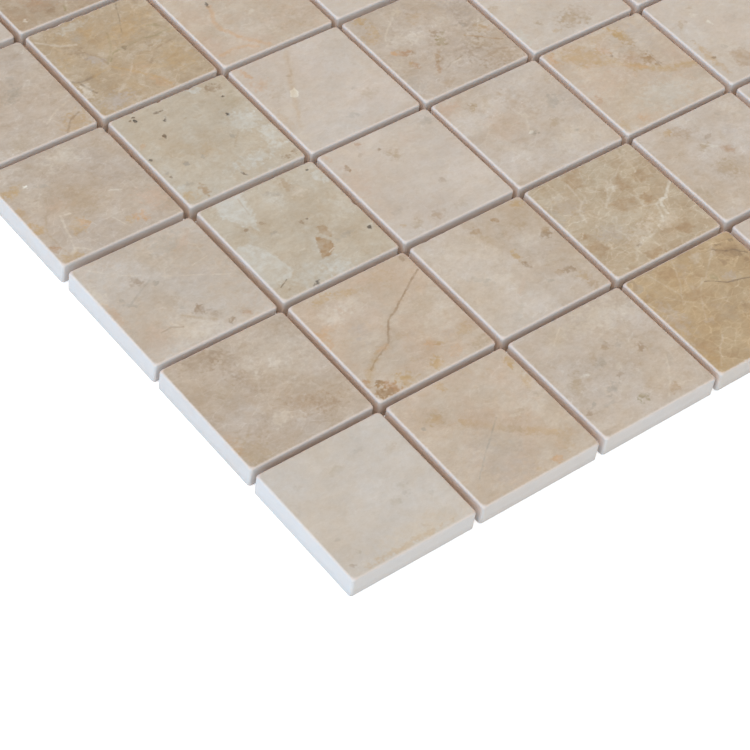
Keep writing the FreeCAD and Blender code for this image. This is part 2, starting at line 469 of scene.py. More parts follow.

# %% [markdown]
# What makes one chip different from its neighbour is drawn in millimetres from the chip's corner.
# A stain is an ellipse with a soft or a crisp rim. A shard is a piece of other stone with straight broken
# sides, given by its corners. A vein is a line of a few points with a width. All are bent and frayed by the
# same noises, so that no rim is a true ellipse and no vein is ruled.

# %% Stains: (x, y, half width, half height, turn in degrees, tint, amount, softness of the rim)
STAINS = {
    "r1_c1": [(21.5, 36.6, 2.8, 1.8, 0, "olive", 0.16, 1.0), (29.6, 16.6, 1.8, 1.3, 0, "olive", 0.22, 1.0),
              (35.2, 17.7, 1.6, 1.1, 0, "grey", 0.28, 1.0), (35.5, 21.0, 1.8, 1.2, 20, "olive", 0.22, 1.0),
              (5.8, 14.8, 1.0, 0.8, 0, "grey", 0.28, 1.0), (7.7, 7.4, 1.3, 1.0, 0, "olive", 0.30, 1.0),
              (3.9, 4.7, 0.9, 0.7, 0, "brown", 0.42, 0.9), (31.2, 5.3, 1.5, 1.1, 0, "tan", 0.45, 0.9),
              (41.0, 13.7, 1.1, 0.9, 0, "grey", 0.3, 0.9), (8.0, 37.5, 1.6, 1.2, 0, "grey", 0.22, 0.9),
              (33.0, 39.5, 1.4, 1.0, 0, "grey", 0.22, 0.9), (42.0, 34.5, 2.4, 1.6, 30, "tan", 0.22, 1.0),
              (22.0, 1.9, 13.0, 1.2, 0, "ochre", 0.42, 0.9), (25.0, 4.0, 20, 4, 0, "cream", 0.35, 1.0)],
    "r1_c2": [(20.2, 45.7, 1.6, 2.2, 0, "ochre", 0.60, 0.9), (10.3, 36.0, 3.8, 2.6, 0, "tan", 0.4, 1.0),
              (9.6, 35.6, 2.6, 1.6, 0, "ochre", 0.4, 1.0), (17.5, 30.0, 2.4, 1.6, -45, "ochre", 0.35, 0.9),
              (46.0, 41.5, 1.5, 2.4, 0, "ochre", 0.65, 0.8), (45.4, 33.0, 1.6, 3.0, -30, "ochre", 0.42, 0.9),
              (32.8, 2.9, 2.2, 1.6, 0, "orange", 0.56, 0.9), (25.3, 2.2, 1.6, 1.1, 0, "ochre", 0.35, 0.9),
              (4.5, 34.8, 1.0, 0.8, 0, "grey", 0.55, 0.8), (40.5, 8.0, 2.6, 5.5, -30, "ochre", 0.25, 1.0),
              (35.0, 14.5, 4.5, 2.0, -30, "ochre", 0.30, 0.9), (29.0, 19.5, 4.0, 1.4, -40, "tan", 0.40, 0.9),
              (33.5, 23.5, 1.6, 1.0, 0, "pale", 0.5, 0.8), (36.5, 24.5, 1.2, 0.8, 0, "tan", 0.4, 0.8),
              (44.0, 27.0, 1.2, 1.6, 0, "grey", 0.25, 0.9), (16, 12, 10, 9, 0, "lilac", 0.24, 1.0),
              (18, 5, 9, 4, 0, "lilac", 0.18, 1.0), (40, 20, 6, 8, 0, "pale", 0.2, 1.0)],
    "r1_c3": [(36.1, 23.7, 2.2, 1.5, 30, "brown", 0.55, 0.9), (26.9, 30.1, 2.2, 1.6, 0, "brown", 0.32, 0.9),
              (20.4, 25.8, 2.4, 1.4, 45, "grey", 0.6, 0.9), (22.6, 18.3, 1.5, 1.1, 0, "brown", 0.35, 0.9),
              (29.0, 18.3, 1.4, 1.0, 0, "brown", 0.35, 0.9), (16.1, 15.0, 3.2, 1.8, 20, "grey", 0.5, 0.9),
              (22.0, 6.9, 2.2, 2.0, 0, "olive", 0.55, 0.9), (33.9, 4.7, 2.2, 1.8, 30, "clast", 0.45, 0.9),
              (5.8, 12.9, 2.2, 0.8, 15, "grey", 0.65, 0.8), (2.6, 11.2, 1.0, 0.8, 0, "brown", 0.55, 0.8),
              (12.3, 23.9, 2.0, 0.8, 5, "white", 0.6, 0.8), (28, 25, 15, 6, 5, "tan", 0.26, 1.0),
              (30.5, 12.3, 8, 5, 20, "tan", 0.18, 1.0), (7, 22, 5, 2.4, 50, "tan", 0.5, 1.0),
              (10.5, 10.5, 2.4, 1.0, 10, "grey", 0.4, 0.9), (24.5, 21.0, 1.6, 1.2, 0, "pale", 0.5, 0.9),
              (31.0, 28.5, 2.0, 1.2, 30, "grey", 0.35, 0.9), (33.0, 42.0, 12.0, 5.0, 5, "pale", 0.5, 1.0),
              (14.0, 40.5, 8.0, 3.0, 35, "cream", 0.35, 1.0), (41.0, 15.0, 2.0, 1.5, 0, "grey", 0.28, 0.9)],
    "r1_c4": [(42, 41, 5, 4.5, 0, "clast", 0.40, 0.9), (43.5, 38.5, 2.5, 1.7, -35, "umber", 0.26, 0.9),
              (3.0, 44.0, 2.2, 2.4, 0, "grey", 0.4, 0.8), (22.5, 43.0, 3.0, 2.4, 0, "lilac", 0.22, 0.9),
              (22, 18.8, 4.0, 3.2, 20, "tan", 0.35, 0.9), (4, 27, 3.5, 9, 0, "lilac", 0.35, 1.0),
              (2.5, 8, 3.0, 6, 0, "ochre", 0.4, 1.0), (36.5, 37.5, 2.0, 1.2, -40, "brown", 0.4, 0.9),
              (28.5, 33.6, 2.5, 1.4, -20, "olive", 0.4, 0.9), (16, 38, 5, 4, 30, "ochre", 0.2, 1.0),
              (29.0, 18.5, 1.6, 2.4, -30, "brown", 0.3, 0.9), (14.0, 20.0, 2.0, 1.4, 0, "lilac", 0.4, 0.9),
              (45.5, 29.0, 2.0, 4.0, 0, "rust", 0.30, 1.0), (40.0, 44.5, 1.8, 0.7, -20, "umber", 0.3, 0.9),
              (46.0, 44.0, 1.2, 0.8, 0, "umber", 0.35, 0.9), (44.5, 34.0, 1.6, 0.8, 30, "brown", 0.45, 0.9),
              (2.5, 45.0, 2.2, 1.2, 30, "clast", 0.45, 0.9), (30.0, 44.0, 3.0, 1.6, 20, "pale", 0.3, 1.0),
              (9.0, 5.0, 3.0, 1.4, -30, "clast", 0.4, 0.9), (34.0, 31.0, 3.0, 2.0, 0, "lilac", 0.4, 0.9)],
    "r2_c1": [(14.5, 44.0, 7, 4.5, -10, "brown", 0.27, 1.0), (20.0, 38.5, 4.5, 6.0, 0, "brown", 0.25, 1.0),
              (20.5, 29.0, 3.0, 6.5, 10, "brown", 0.22, 1.0), (12.0, 28.0, 3.5, 5.5, 0, "tan", 0.34, 1.0),
              (17.2, 15.0, 2.2, 1.8, 20, "brown", 0.30, 1.0), (30.5, 12.0, 10, 4.2, -14, "clast", 0.30, 1.0),
              (11.0, 12.0, 4.0, 3.0, 0, "brown", 0.19, 1.0), (37.0, 9.0, 5.0, 3.5, -30, "brown", 0.19, 1.0),
              (3, 5, 7, 8, 0, "tan", 0.5, 1.0), (1.8, 12, 1.8, 7, 0, "orange", 0.26, 1.0),
              (13, 22, 3.5, 6, 10, "lilac", 0.28, 1.0), (21, 12.0, 4, 2.4, 20, "pale", 0.5, 1.0),
              (36, 34, 11, 12, 0, "pale", 0.24, 1.0), (33.0, 32.0, 2.0, 1.4, 0, "pale", 0.4, 0.9),
              (24.5, 34.0, 1.4, 4.0, 25, "pale", 0.3, 0.9)],
    "r2_c2": [(4.7, 2.0, 4.6, 2.8, 0, "clast", 0.85, 0.9), (7.6, 3.0, 2.2, 3.2, 20, "rust", 0.5, 0.9),
              (5.1, 6.4, 1.5, 1.2, 0, "clast", 0.9, 0.8), (4.6, 2.2, 3.0, 1.6, 0, "brown", 0.5, 0.9),
              (4.6, 7.0, 1.0, 0.9, 0, "brown", 0.5, 0.9), (1.5, 9.0, 1.3, 2.4, 0, "rust", 0.52, 0.9),
              (1.8, 31.8, 2.0, 3.8, 0, "orange", 0.44, 1.0), (5.5, 34.0, 2.4, 2.0, 0, "orange", 0.32, 1.0),
              (2.2, 27.5, 1.6, 1.2, 0, "orange", 0.32, 0.9), (11.8, 45.3, 3.6, 1.8, 0, "ochre", 0.5, 0.9),
              (20.4, 42.8, 5.6, 2.0, -15, "ochre", 0.45, 1.0), (35.5, 43.0, 4.0, 3.0, 0, "ochre", 0.25, 1.0),
              (29.6, 11.2, 2.2, 2.0, 0, "orange", 0.48, 0.9), (32.0, 10.0, 1.8, 1.2, -30, "ochre", 0.5, 0.9),
              (26.0, 3.4, 3.0, 2.4, 40, "ochre", 0.60, 0.9), (35.0, 4.6, 3.4, 2.2, 10, "orange", 0.32, 1.0),
              (44.2, 3.2, 4.0, 2.0, 10, "tan", 0.5, 1.0), (43.0, 10.0, 3.5, 2.2, 20, "ochre", 0.3, 1.0),
              (13.5, 3.6, 3.4, 3.0, 0, "ochre", 0.65, 1.0), (9.6, 37.7, 4.2, 4.6, 0, "pale", 0.45, 1.0),
              (18.5, 38.8, 4.0, 3.4, 0, "pale", 0.4, 1.0), (13.8, 27.5, 3.4, 3.6, 0, "lilac", 0.45, 1.0),
              (9.0, 22.5, 4.0, 2.0, 0, "lilac", 0.3, 1.0), (46.0, 45.8, 1.8, 1.2, 0, "brown", 0.35, 0.9),
              (36, 17, 9, 5, 20, "pale", 0.32, 1.0), (37.5, 12.0, 3.0, 2.0, 0, "lilac", 0.3, 1.0),
              (40.0, 27.0, 8, 4, 30, "tan", 0.25, 1.0)],
    "r2_c3": [(12, 26, 13, 24, 0, "pale", 0.11, 1.0), (24.2, 42.6, 2.0, 1.8, 0, "clast", 0.62, 0.8),
              (33.4, 43.1, 1.3, 1.2, 0, "clast", 0.75, 0.8), (25.0, 38.0, 2.0, 2.6, 0, "tan", 0.5, 0.9),
              (43.7, 28.8, 1.9, 1.6, 0, "brown", 0.85, 0.9), (45.0, 31.0, 1.4, 1.6, 0, "clast", 0.5, 0.9),
              (28.7, 26.5, 1.5, 2.6, 0, "ochre", 0.65, 0.9), (29.0, 21.6, 1.2, 1.7, 0, "brown", 0.7, 0.9),
              (39.5, 12.4, 2.2, 1.4, -20, "brown", 0.6, 0.9), (36.0, 13.0, 1.6, 1.2, 0, "clast", 0.35, 0.9),
              (42.0, 7.6, 2.2, 2.0, 0, "ochre", 0.42, 1.0), (42.5, 3.2, 2.2, 2.4, 0, "clast", 0.42, 1.0),
              (33.0, 35.5, 2.4, 2.2, 0, "clast", 0.26, 0.9), (30.6, 11.5, 1.3, 1.0, 0, "grey", 0.5, 0.9),
              (39.0, 37.0, 2.2, 2.0, 0, "tan", 0.5, 1.0), (45.0, 45.6, 2.6, 2.2, 0, "ochre", 0.65, 0.9),
              (29.6, 36.6, 1.6, 1.6, 0, "grey", 0.4, 0.9), (32.0, 30.0, 1.6, 1.6, 0, "grey", 0.26, 0.9),
              (37.0, 30.5, 3.0, 3.0, 0, "pale", 0.4, 0.9), (38.5, 19.5, 3.4, 2.4, 20, "pale", 0.36, 0.9),
              (11.2, 24.4, 4.4, 1.2, -32, "grey", 0.40, 0.9), (12.4, 22.0, 2.4, 1.6, -20, "grey", 0.3, 0.9),
              (12.0, 6.0, 5.0, 1.6, 35, "grey", 0.26, 0.9), (20.5, 14.5, 5.0, 0.9, 40, "rose", 0.3, 0.9)],
    "r2_c4": [(4.2, 21.0, 1.8, 1.6, 0, "clast", 0.6, 0.8), (17.2, 8.2, 1.2, 0.8, 0, "brown", 0.8, 0.8),
              (13, 17, 6, 4.5, 0, "lilac", 0.35, 1.0), (22.5, 12.5, 8.0, 3.0, 20, "pale", 0.5, 1.0),
              (34.0, 11.5, 5.0, 2.0, 20, "pale", 0.5, 1.0), (9, 36, 6, 6, 0, "lilac", 0.3, 1.0),
              (43, 42, 4, 4, 0, "cream", 0.35, 1.0), (28.0, 34.5, 3.0, 3.0, 0, "pale", 0.45, 0.9),
              (2.0, 34.0, 2.4, 4.0, 0, "grey", 0.3, 1.0), (22.0, 46.0, 2.0, 2.0, 0, "clast", 0.4, 0.9)],
    "r2_c5": [(17.2, 41.5, 4.6, 2.8, -25, "clast", 0.32, 0.9), (13.0, 44.0, 2.4, 1.6, 0, "ochre", 0.4, 0.9),
              (24.2, 35.0, 1.8, 1.0, 20, "brown", 0.42, 0.9), (26.9, 26.9, 2.6, 1.8, -20, "rust", 0.26, 0.9),
              (19.3, 31.8, 3.0, 1.6, 20, "tan", 0.6, 0.9), (19.5, 19.5, 4.6, 4.8, 0, "tan", 0.55, 1.0),
              (9.5, 33.0, 3.0, 1.4, 20, "tan", 0.35, 0.9), (8.5, 24.0, 1.5, 1.2, 0, "tan", 0.35, 0.9),
              (36.0, 42.0, 1.6, 1.2, 0, "grey", 0.35, 0.9), (34.5, 33.5, 3.0, 3.0, 0, "lilac", 0.35, 1.0),
              (22.5, 30.0, 2.2, 0.6, -45, "white", 0.3, 0.9), (3.0, 14.0, 2.0, 4.0, 0, "olive", 0.2, 1.0)],
    "r3_c1": [(24, 24, 36, 36, 0, "milk", 0.26, 1.0), (24, 24, 36, 36, 0, "lilac", 0.24, 1.0),
              (26.2, 12.2, 2.6, 2.2, 0, "brown", 0.60, 0.9), (28.6, 8.4, 2.6, 2.2, -45, "brown", 0.34, 1.0),
              (16.1, 33.0, 2.2, 2.2, 0, "brown", 0.4, 0.9), (6.9, 28.2, 1.3, 1.0, 0, "grey", 0.75, 0.9),
              (21.0, 29.6, 1.1, 0.9, 0, "grey", 0.75, 0.9), (9.0, 25.0, 3.2, 1.0, -30, "grey", 0.4, 0.9),
              (38.8, 3.3, 1.7, 1.5, 0, "rust", 0.44, 0.9), (32.3, 3.0, 1.4, 1.2, 0, "brown", 0.55, 0.9),
              (20.4, 6.4, 9.5, 5.5, -25, "pale", 0.45, 0.9), (33, 42, 7, 4, 30, "grey", 0.26, 1.0),
              (25, 38, 3.5, 8, 30, "tan", 0.26, 1.0), (1.8, 34, 2.0, 5, 0, "pale", 0.6, 1.0),
              (2.0, 24, 2.0, 6, 0, "orange", 0.32, 1.0), (36, 24, 9, 5, -25, "lilac", 0.30, 1.0),
              (20.0, 20.0, 4.0, 2.5, 30, "tan", 0.3, 1.0), (40.0, 40.0, 5.0, 1.5, 35, "rose", 0.4, 1.0),
              (8.0, 10.0, 5.0, 6.0, 0, "rose", 0.3, 1.0), (22.0, 16.0, 1.0, 0.8, 0, "grey", 0.5, 0.9)],
    "r3_c2": [(35.0, 38.3, 2.5, 2.1, 0, "pale", 0.75, 0.8), (46.4, 41.0, 2.4, 4.2, 0, "milk", 0.8, 0.8),
              (25.5, 4.2, 5.0, 3.6, 0, "milk", 0.6, 0.9), (14.0, 5.0, 8.0, 4.0, 0, "milk", 0.4, 1.0),
              # the brown and umber spots at 27.4, 26.6 and 30.1, 26.8 and the dark ones at 45.3, 12.3 and
              # 44.2, 45.5 lie on this chip's pits: painted shade inside them
              (27.4, 26.6, 1.0, 0.9, 0, "brown", 0.7, 0.8), (30.1, 26.8, 0.59, 0.51, 0, "umber", 0.68, 0.8),
              (45.3, 12.3, 0.77, 0.68, 0, "dark", 0.68, 0.8), (44.2, 45.5, 0.68, 0.59, 0, "dark", 0.68, 0.8),
              (14.8, 1.0, 1.9, 0.94, 20, "dark", 0.64, 0.9), (9.1, 32.8, 1.0, 0.8, 0, "brown", 0.6, 0.8),
              (15.6, 32.5, 0.9, 0.8, 0, "brown", 0.45, 0.8), (16.1, 26.9, 1.2, 0.9, 0, "grey", 0.5, 0.9),
              (27.5, 41.5, 3.2, 1.4, -35, "grey", 0.5, 0.9), (33.5, 43.0, 1.8, 4.0, 0, "clast", 0.34, 0.9),
              (36.6, 13.9, 2.6, 1.2, 10, "grey", 0.5, 0.9), (33.0, 13.0, 1.4, 1.0, 0, "grey", 0.4, 0.9),
              (5.5, 3.5, 0.8, 0.7, 0, "brown", 0.4, 0.9), (34, 31, 11, 13, 0, "tan", 0.20, 1.0)],
    "r3_c3": [(5.5, 37.9, 1.2, 1.7, 0, "brown", 0.75, 0.8), (23.7, 35.0, 2.6, 2.6, 0, "tan", 0.55, 1.0),
              (15.9, 45.8, 1.3, 1.1, 0, "rust", 0.48, 0.9), (13.4, 41.5, 1.0, 0.8, 0, "brown", 0.3, 0.9),
              (29.6, 16.6, 1.1, 1.3, 0, "brown", 0.30, 0.9), (18.3, 4.7, 2.8, 2.0, 0, "clast", 0.36, 0.9),
              (20.4, 39.9, 0.9, 0.7, 0, "brown", 0.5, 0.9), (44.7, 43.1, 2.6, 2.4, 0, "grey", 0.36, 1.0),
              (9.0, 5.0, 3.0, 2.0, 30, "tan", 0.5, 1.0), (5.0, 6.5, 1.2, 1.0, 0, "ochre", 0.5, 0.9),
              (28.5, 4.5, 2.0, 1.6, 0, "tan", 0.35, 1.0), (7.5, 13.0, 2.5, 1.6, 0, "grey", 0.25, 1.0),
              (4, 30, 4, 12, 0, "rose", 0.24, 1.0), (33, 40, 6, 4, 20, "rose", 0.16, 1.0),
              (2.5, 45.5, 1.6, 1.6, 0, "orange", 0.32, 0.9)],
    "r3_c4": [(27.5, 33.0, 4.5, 8.5, 10, "clast", 0.22, 1.0), (11.8, 40.2, 2.4, 2.0, 0, "tan", 0.75, 0.9),
              (12.0, 41.0, 1.2, 0.8, 0, "brown", 0.35, 0.9), (22.9, 18.4, 1.4, 1.0, -20, "grey", 0.9, 0.9),
              (22.0, 19.8, 1.2, 0.8, 0, "white", 0.6, 0.8), (37.4, 11.8, 1.1, 0.8, 0, "grey", 0.75, 0.9),
              (25.8, 27.0, 1.4, 1.8, 15, "white", 0.26, 0.9), (39.5, 27.5, 3.4, 3.0, 0, "grey", 0.5, 1.0),
              (33.0, 18.5, 3.0, 1.6, 20, "tan", 0.5, 0.9), (4.0, 44, 6, 3.5, 0, "rose", 0.50, 1.0),
              (31, 9, 9, 5, 10, "pale", 0.35, 1.0), (46.0, 24.0, 2.0, 12.0, 0, "lilac", 0.4, 1.0),
              (21.0, 41.0, 3.0, 2.0, 0, "tan", 0.3, 1.0), (15, 26, 7, 8, 0, "rose", 0.22, 1.0)],
    "r3_c5": [(33.5, 41.5, 2.4, 6.0, 10, "ochre", 0.75, 1.0), (34.0, 26.0, 2.6, 3.0, 0, "clast", 0.80, 0.9),
              (36.0, 22.5, 1.8, 1.6, 0, "brown", 0.45, 0.9), (22.9, 34.5, 0.85, 0.77, 0, "dark", 0.51, 0.9),
              (1.8, 43.5, 2.6, 3.2, -30, "orange", 0.52, 1.0), (2.6, 19.0, 2.4, 2.2, 20, "rust", 0.4, 0.9),
              (11.2, 4.2, 3.4, 2.8, 0, "orange", 0.4, 1.0), (2.0, 5.0, 2.4, 2.4, 0, "ochre", 0.4, 1.0),
              (22.5, 38.0, 2.0, 3.5, 20, "rose", 0.6, 1.0), (28.5, 29.5, 2.6, 2.6, 0, "rose", 0.6, 1.0),
              (25.0, 44.5, 5.0, 2.4, 0, "ochre", 0.3, 1.0), (41, 36, 6, 9, 0, "lilac", 0.40, 1.0),
              (30.5, 31.0, 5.0, 7.0, 0, "clast", 0.32, 1.0), (23, 13, 17, 9, -20, "tan", 0.22, 1.0),
              (14.0, 40.0, 9.0, 6.0, -30, "ochre", 0.42, 1.0), (10.0, 25.0, 8.0, 7.0, 0, "rose", 0.3, 1.0),
              (44.0, 24.0, 4.0, 6.0, 0, "rose", 0.3, 1.0), (25.0, 9.0, 14, 7, 0, "milk", 0.35, 1.0)],
    "r3_c6": [(3.5, 14.0, 1.6, 9.5, 0, "ochre", 0.45, 1.0), (4.5, 14.0, 0.9, 0.8, 0, "brown", 0.75, 0.9),
              (4.0, 25.5, 1.0, 1.2, 0, "tan", 0.6, 0.9), (12.0, 16.5, 1.4, 1.1, 0, "grey", 0.5, 0.9),
              (16.8, 29.6, 1.1, 1.6, 15, "white", 0.6, 0.8), (14.0, 35.5, 1.6, 1.4, 0, "white", 0.35, 0.9),
              (25, 27, 4, 3, 0, "lilac", 0.40, 1.0), (5.8, 33.5, 2.6, 1.0, 45, "tan", 0.6, 0.9),
              (9.0, 34.5, 1.2, 0.9, 0, "brown", 0.35, 0.9), (15.0, 39.5, 1.6, 0.9, 20, "tan", 0.5, 0.9),
              (24.0, 24.0, 36, 36, 0, "cream", 0.14, 1.0)],
    "r4_c1": [(3.6, 36.8, 4.2, 2.4, 0, "ochre", 0.60, 1.0), (9.6, 36.9, 1.2, 0.9, 0, "white", 0.85, 0.8),
              (2.2, 18.0, 2.0, 3.6, 20, "ochre", 0.55, 1.0), (15.0, 13.2, 3.8, 3.2, 20, "ochre", 0.30, 1.0),
              (17.0, 13.0, 1.6, 2.4, 0, "orange", 0.4, 0.9), (13.0, 11.0, 2.0, 1.6, 0, "ochre", 0.25, 1.0),
              (35.5, 5.4, 2.0, 2.0, 0, "orange", 0.68, 0.9), (33.5, 7.0, 1.2, 1.4, 0, "orange", 0.4, 0.9),
              (31.0, 6.5, 1.2, 1.8, 0, "ochre", 0.5, 0.9), (2.6, 7.7, 1.8, 1.6, 0, "rust", 0.52, 0.9),
              (4.2, 2.0, 4.5, 2.6, 0, "ochre", 0.5, 1.0), (34.5, 20.1, 1.9, 0.4, -20, "white", 0.4, 0.9),
              (43.7, 10.7, 6.0, 5.0, 0, "rose", 0.45, 1.0), (14.5, 34.2, 2.2, 0.9, -30, "grey", 0.45, 0.9),
              (28, 42, 9, 4, 15, "pale", 0.42, 1.0), (7.0, 30.0, 4.0, 4.0, 0, "pale", 0.3, 1.0),
              (24, 22, 8, 6, 30, "tan", 0.35, 1.0), (14.0, 24.0, 4.0, 3.0, 0, "rose", 0.3, 1.0),
              (42, 42, 4, 3, -30, "tan", 0.3, 1.0), (2.2, 27, 1.8, 3.0, 0, "ochre", 0.35, 1.0)],
    # the dark and umber spots on this chip's pits are painted shade inside them
    "r4_c2": [(7.8, 43.7, 0.75, 0.68, 0, "dark", 0.95, 0.7), (8.5, 45.4, 0.68, 0.42, 0, "umber", 0.68, 0.8),
              (6.6, 44.8, 0.51, 0.42, 0, "umber", 0.59, 0.8), (16.9, 43.4, 1.2, 0.68, 0, "umber", 0.81, 0.9),
              (18.4, 43.7, 0.77, 0.59, 20, "umber", 0.8, 0.8), (17.7, 39.5, 0.77, 0.77, 0, "dark", 0.7, 0.8),
              (12.6, 32.6, 0.94, 0.68, 25, "umber", 0.68, 0.8), (11.0, 32.0, 0.8, 0.6, 0, "grey", 0.7, 0.9),
              (1.6, 25.5, 0.77, 0.77, 0, "dark", 0.77, 0.8), (3.1, 15.2, 0.68, 0.59, 0, "umber", 0.64, 0.8),
              (11.0, 18.0, 0.9, 0.9, 0, "grey", 0.9, 0.9), (2.6, 17.6, 0.7, 0.6, 0, "grey", 0.6, 0.9),
              (17.7, 17.7, 0.8, 0.8, 0, "grey", 0.8, 0.9), (37.5, 30.5, 0.68, 0.85, -30, "dark", 0.72, 0.8),
              (41.8, 38.8, 0.68, 0.68, 0, "dark", 0.77, 0.8), (40.4, 44.0, 2.2, 1.8, -20, "brown", 0.60, 0.9),
              (43.0, 42.6, 1.4, 1.2, 0, "brown", 0.45, 0.9), (24.9, 3.7, 0.77, 0.68, 0, "umber", 0.64, 0.8),
              (32.6, 20.9, 1.5, 1.1, 20, "grey", 0.55, 0.9), (28.2, 35.0, 1.3, 1.1, 0, "tan", 0.6, 0.9),
              (23.5, 36.0, 0.9, 0.7, 0, "tan", 0.5, 0.9), (43.1, 3.0, 2.6, 1.1, 10, "brown", 0.65, 0.9),
              (46.5, 4.0, 1.4, 1.0, 0, "brown", 0.5, 0.9), (40.4, 25.0, 5.6, 5.0, 30, "milk", 0.62, 0.9),
              (31.2, 8.0, 8.5, 3.4, 5, "milk", 0.62, 1.0), (44.6, 14.5, 3.8, 5.8, 0, "milk", 0.70, 1.0),
              (42.0, 9.0, 3.4, 3.0, 0, "milk", 0.5, 1.0), (2.6, 9.0, 2.2, 2.0, 0, "milk", 0.5, 1.0),
              (3.0, 4.5, 2.8, 2.4, 0, "ochre", 0.50, 1.0), (8.8, 4.8, 1.6, 3.0, 0, "clast", 0.55, 0.9),
              (5.8, 9.1, 1.5, 1.2, 0, "grey", 0.5, 0.9), (22.0, 19.0, 3.0, 3.0, 0, "ochre", 0.2, 1.0),
              (35.0, 46.2, 2.4, 1.2, -20, "milk", 0.9, 0.9), (3.0, 32.5, 1.6, 1.0, 30, "orange", 0.4, 0.9),
              (42.5, 36.0, 4.0, 3.0, 30, "olive", 0.2, 1.0)],
    "r4_c3": [(4.2, 44.0, 1.6, 3.0, 0, "orange", 0.48, 0.9), (5.5, 37.0, 3.6, 3.2, 0, "orange", 0.34, 1.0),
              (8.0, 30.0, 3.0, 2.4, 0, "tan", 0.3, 1.0), (24.5, 8.5, 2.4, 1.8, 0, "grey", 0.36, 0.9),
              (17.0, 35.6, 0.9, 0.8, 0, "brown", 0.3, 0.9), (36, 14, 4, 2, 0, "tan", 0.30, 1.0),
              (33.0, 18.5, 1.4, 0.9, 0, "grey", 0.3, 0.9), (4.0, 6.0, 3.0, 6.0, 0, "pale", 0.3, 1.0),
              (2.0, 18.0, 1.8, 6.0, 0, "ochre", 0.26, 1.0)],
    "r4_c4": [(9.8, 24.2, 3.0, 1.4, -25, "rust", 0.52, 0.9), (7.0, 26.0, 1.6, 1.2, -30, "orange", 0.56, 0.9),
              (12.5, 22.6, 1.2, 0.8, 0, "brown", 0.45, 0.9), (9.0, 17.2, 1.5, 2.2, 0, "rust", 0.4, 0.9),
              (8.0, 18.5, 1.0, 1.0, 0, "ochre", 0.5, 0.9), (15.6, 11.6, 1.6, 2.4, -10, "rust", 0.36, 0.9),
              (19.0, 17.2, 1.2, 2.8, -25, "clast", 0.42, 0.9), (25.2, 22.5, 2.4, 2.6, 0, "olive", 0.70, 0.9),
              (26.0, 27.2, 1.8, 1.4, 0, "brown", 0.45, 0.9), (27.5, 24.5, 3.0, 1.0, 30, "olive", 0.4, 0.9),
              (7.5, 39.0, 2.0, 5.0, -10, "ochre", 0.45, 1.0), (4.0, 36.5, 2.6, 2.6, 0, "ochre", 0.35, 1.0),
              (6.5, 46.0, 2.4, 1.8, 0, "ochre", 0.55, 1.0), (21.2, 43.4, 2.4, 2.0, 20, "cream", 0.7, 0.8),
              (24.0, 40.0, 1.6, 1.0, -40, "brown", 0.35, 0.9), (44.7, 19.3, 2.2, 1.6, -30, "rust", 0.36, 0.9),
              (39.9, 33.4, 7.5, 7.5, 0, "lilac", 0.55, 1.0), (38.0, 25.5, 1.6, 1.4, 0, "grey", 0.5, 0.9),
              (23.7, 11.8, 3.6, 0.8, 12, "pale", 0.8, 0.9), (31.0, 17.5, 5.0, 4.0, 0, "lilac", 0.3, 1.0),
              (36, 14.5, 5, 1.8, -35, "tan", 0.5, 1.0), (38.0, 5.0, 7.0, 3.5, 0, "clast", 0.28, 1.0),
              (14.0, 4.0, 4.0, 2.0, 20, "clast", 0.26, 1.0), (3.0, 9.0, 2.4, 4.0, 0, "grey", 0.25, 1.0),
              (30.0, 20.0, 12.0, 9.0, 20, "brown", 0.20, 1.0), (42.0, 28.0, 5.0, 9.0, 0, "brown", 0.26, 1.0),
              (37.0, 8.0, 9.0, 6.0, -20, "brown", 0.22, 1.0), (26.0, 40.0, 8.0, 4.0, 10, "brown", 0.14, 1.0),
              (18.5, 29.0, 4.0, 3.0, 30, "pale", 0.4, 1.0), (4.5, 21.0, 3.0, 2.4, 0, "pale", 0.35, 1.0),
              (33.0, 31.0, 4.0, 3.0, 20, "pale", 0.35, 1.0), (12.0, 31.0, 5.0, 2.6, 0, "pale", 0.3, 1.0),
              (43.0, 21.0, 3.0, 2.6, 0, "ochre", 0.28, 1.0), (24.0, 37.5, 4.0, 2.6, 20, "ochre", 0.22, 1.0)],
    "r4_c5": [(24.0, 24.0, 36, 36, 0, "cream", 0.12, 1.0), (25.0, 8.0, 7.0, 4.5, 10, "clast", 0.26, 1.0),
              (23.5, 8.0, 4.0, 3.0, 20, "tan", 0.60, 1.0), (12.0, 11.5, 1.6, 1.2, 0, "tan", 0.5, 0.9),
              (29.0, 5.0, 2.6, 1.8, 20, "tan", 0.45, 1.0), (15.5, 4.5, 1.6, 1.2, 0, "ochre", 0.4, 0.9),
              (11, 21.0, 2.6, 1.0, 50, "pale", 0.6, 0.9), (2.6, 26.5, 2.2, 1.6, 30, "tan", 0.45, 0.9),
              (2.0, 9.0, 2.2, 5.0, 0, "milk", 0.6, 0.9)],
    "r5_c1": [(31.0, 25.8, 5.5, 2.4, 40, "grey", 0.55, 1.0), (42.0, 3.6, 6.5, 4.4, 30, "ochre", 0.45, 1.0),
              (34, 33, 2.2, 1.3, 40, "grey", 0.35, 1.0), (38.0, 40.0, 4.0, 3.0, 0, "lilac", 0.35, 1.0),
              (20.0, 4.0, 6.0, 4.0, 20, "tan", 0.35, 1.0)],
    "r5_c2": [(26.9, 26.2, 1.3, 0.94, 0, "umber", 0.51, 0.9), (28.0, 5.3, 2.4, 5.0, 30, "orange", 0.36, 1.0),
              (24.0, 15.0, 5.0, 3.0, 0, "orange", 0.24, 1.0), (2.8, 14.0, 2.2, 4.0, 0, "pale", 0.75, 0.9),
              (9, 5, 7, 3.6, 0, "lilac", 0.65, 1.0), (14.5, 26.0, 2.0, 4.5, 25, "lilac", 0.6, 1.0),
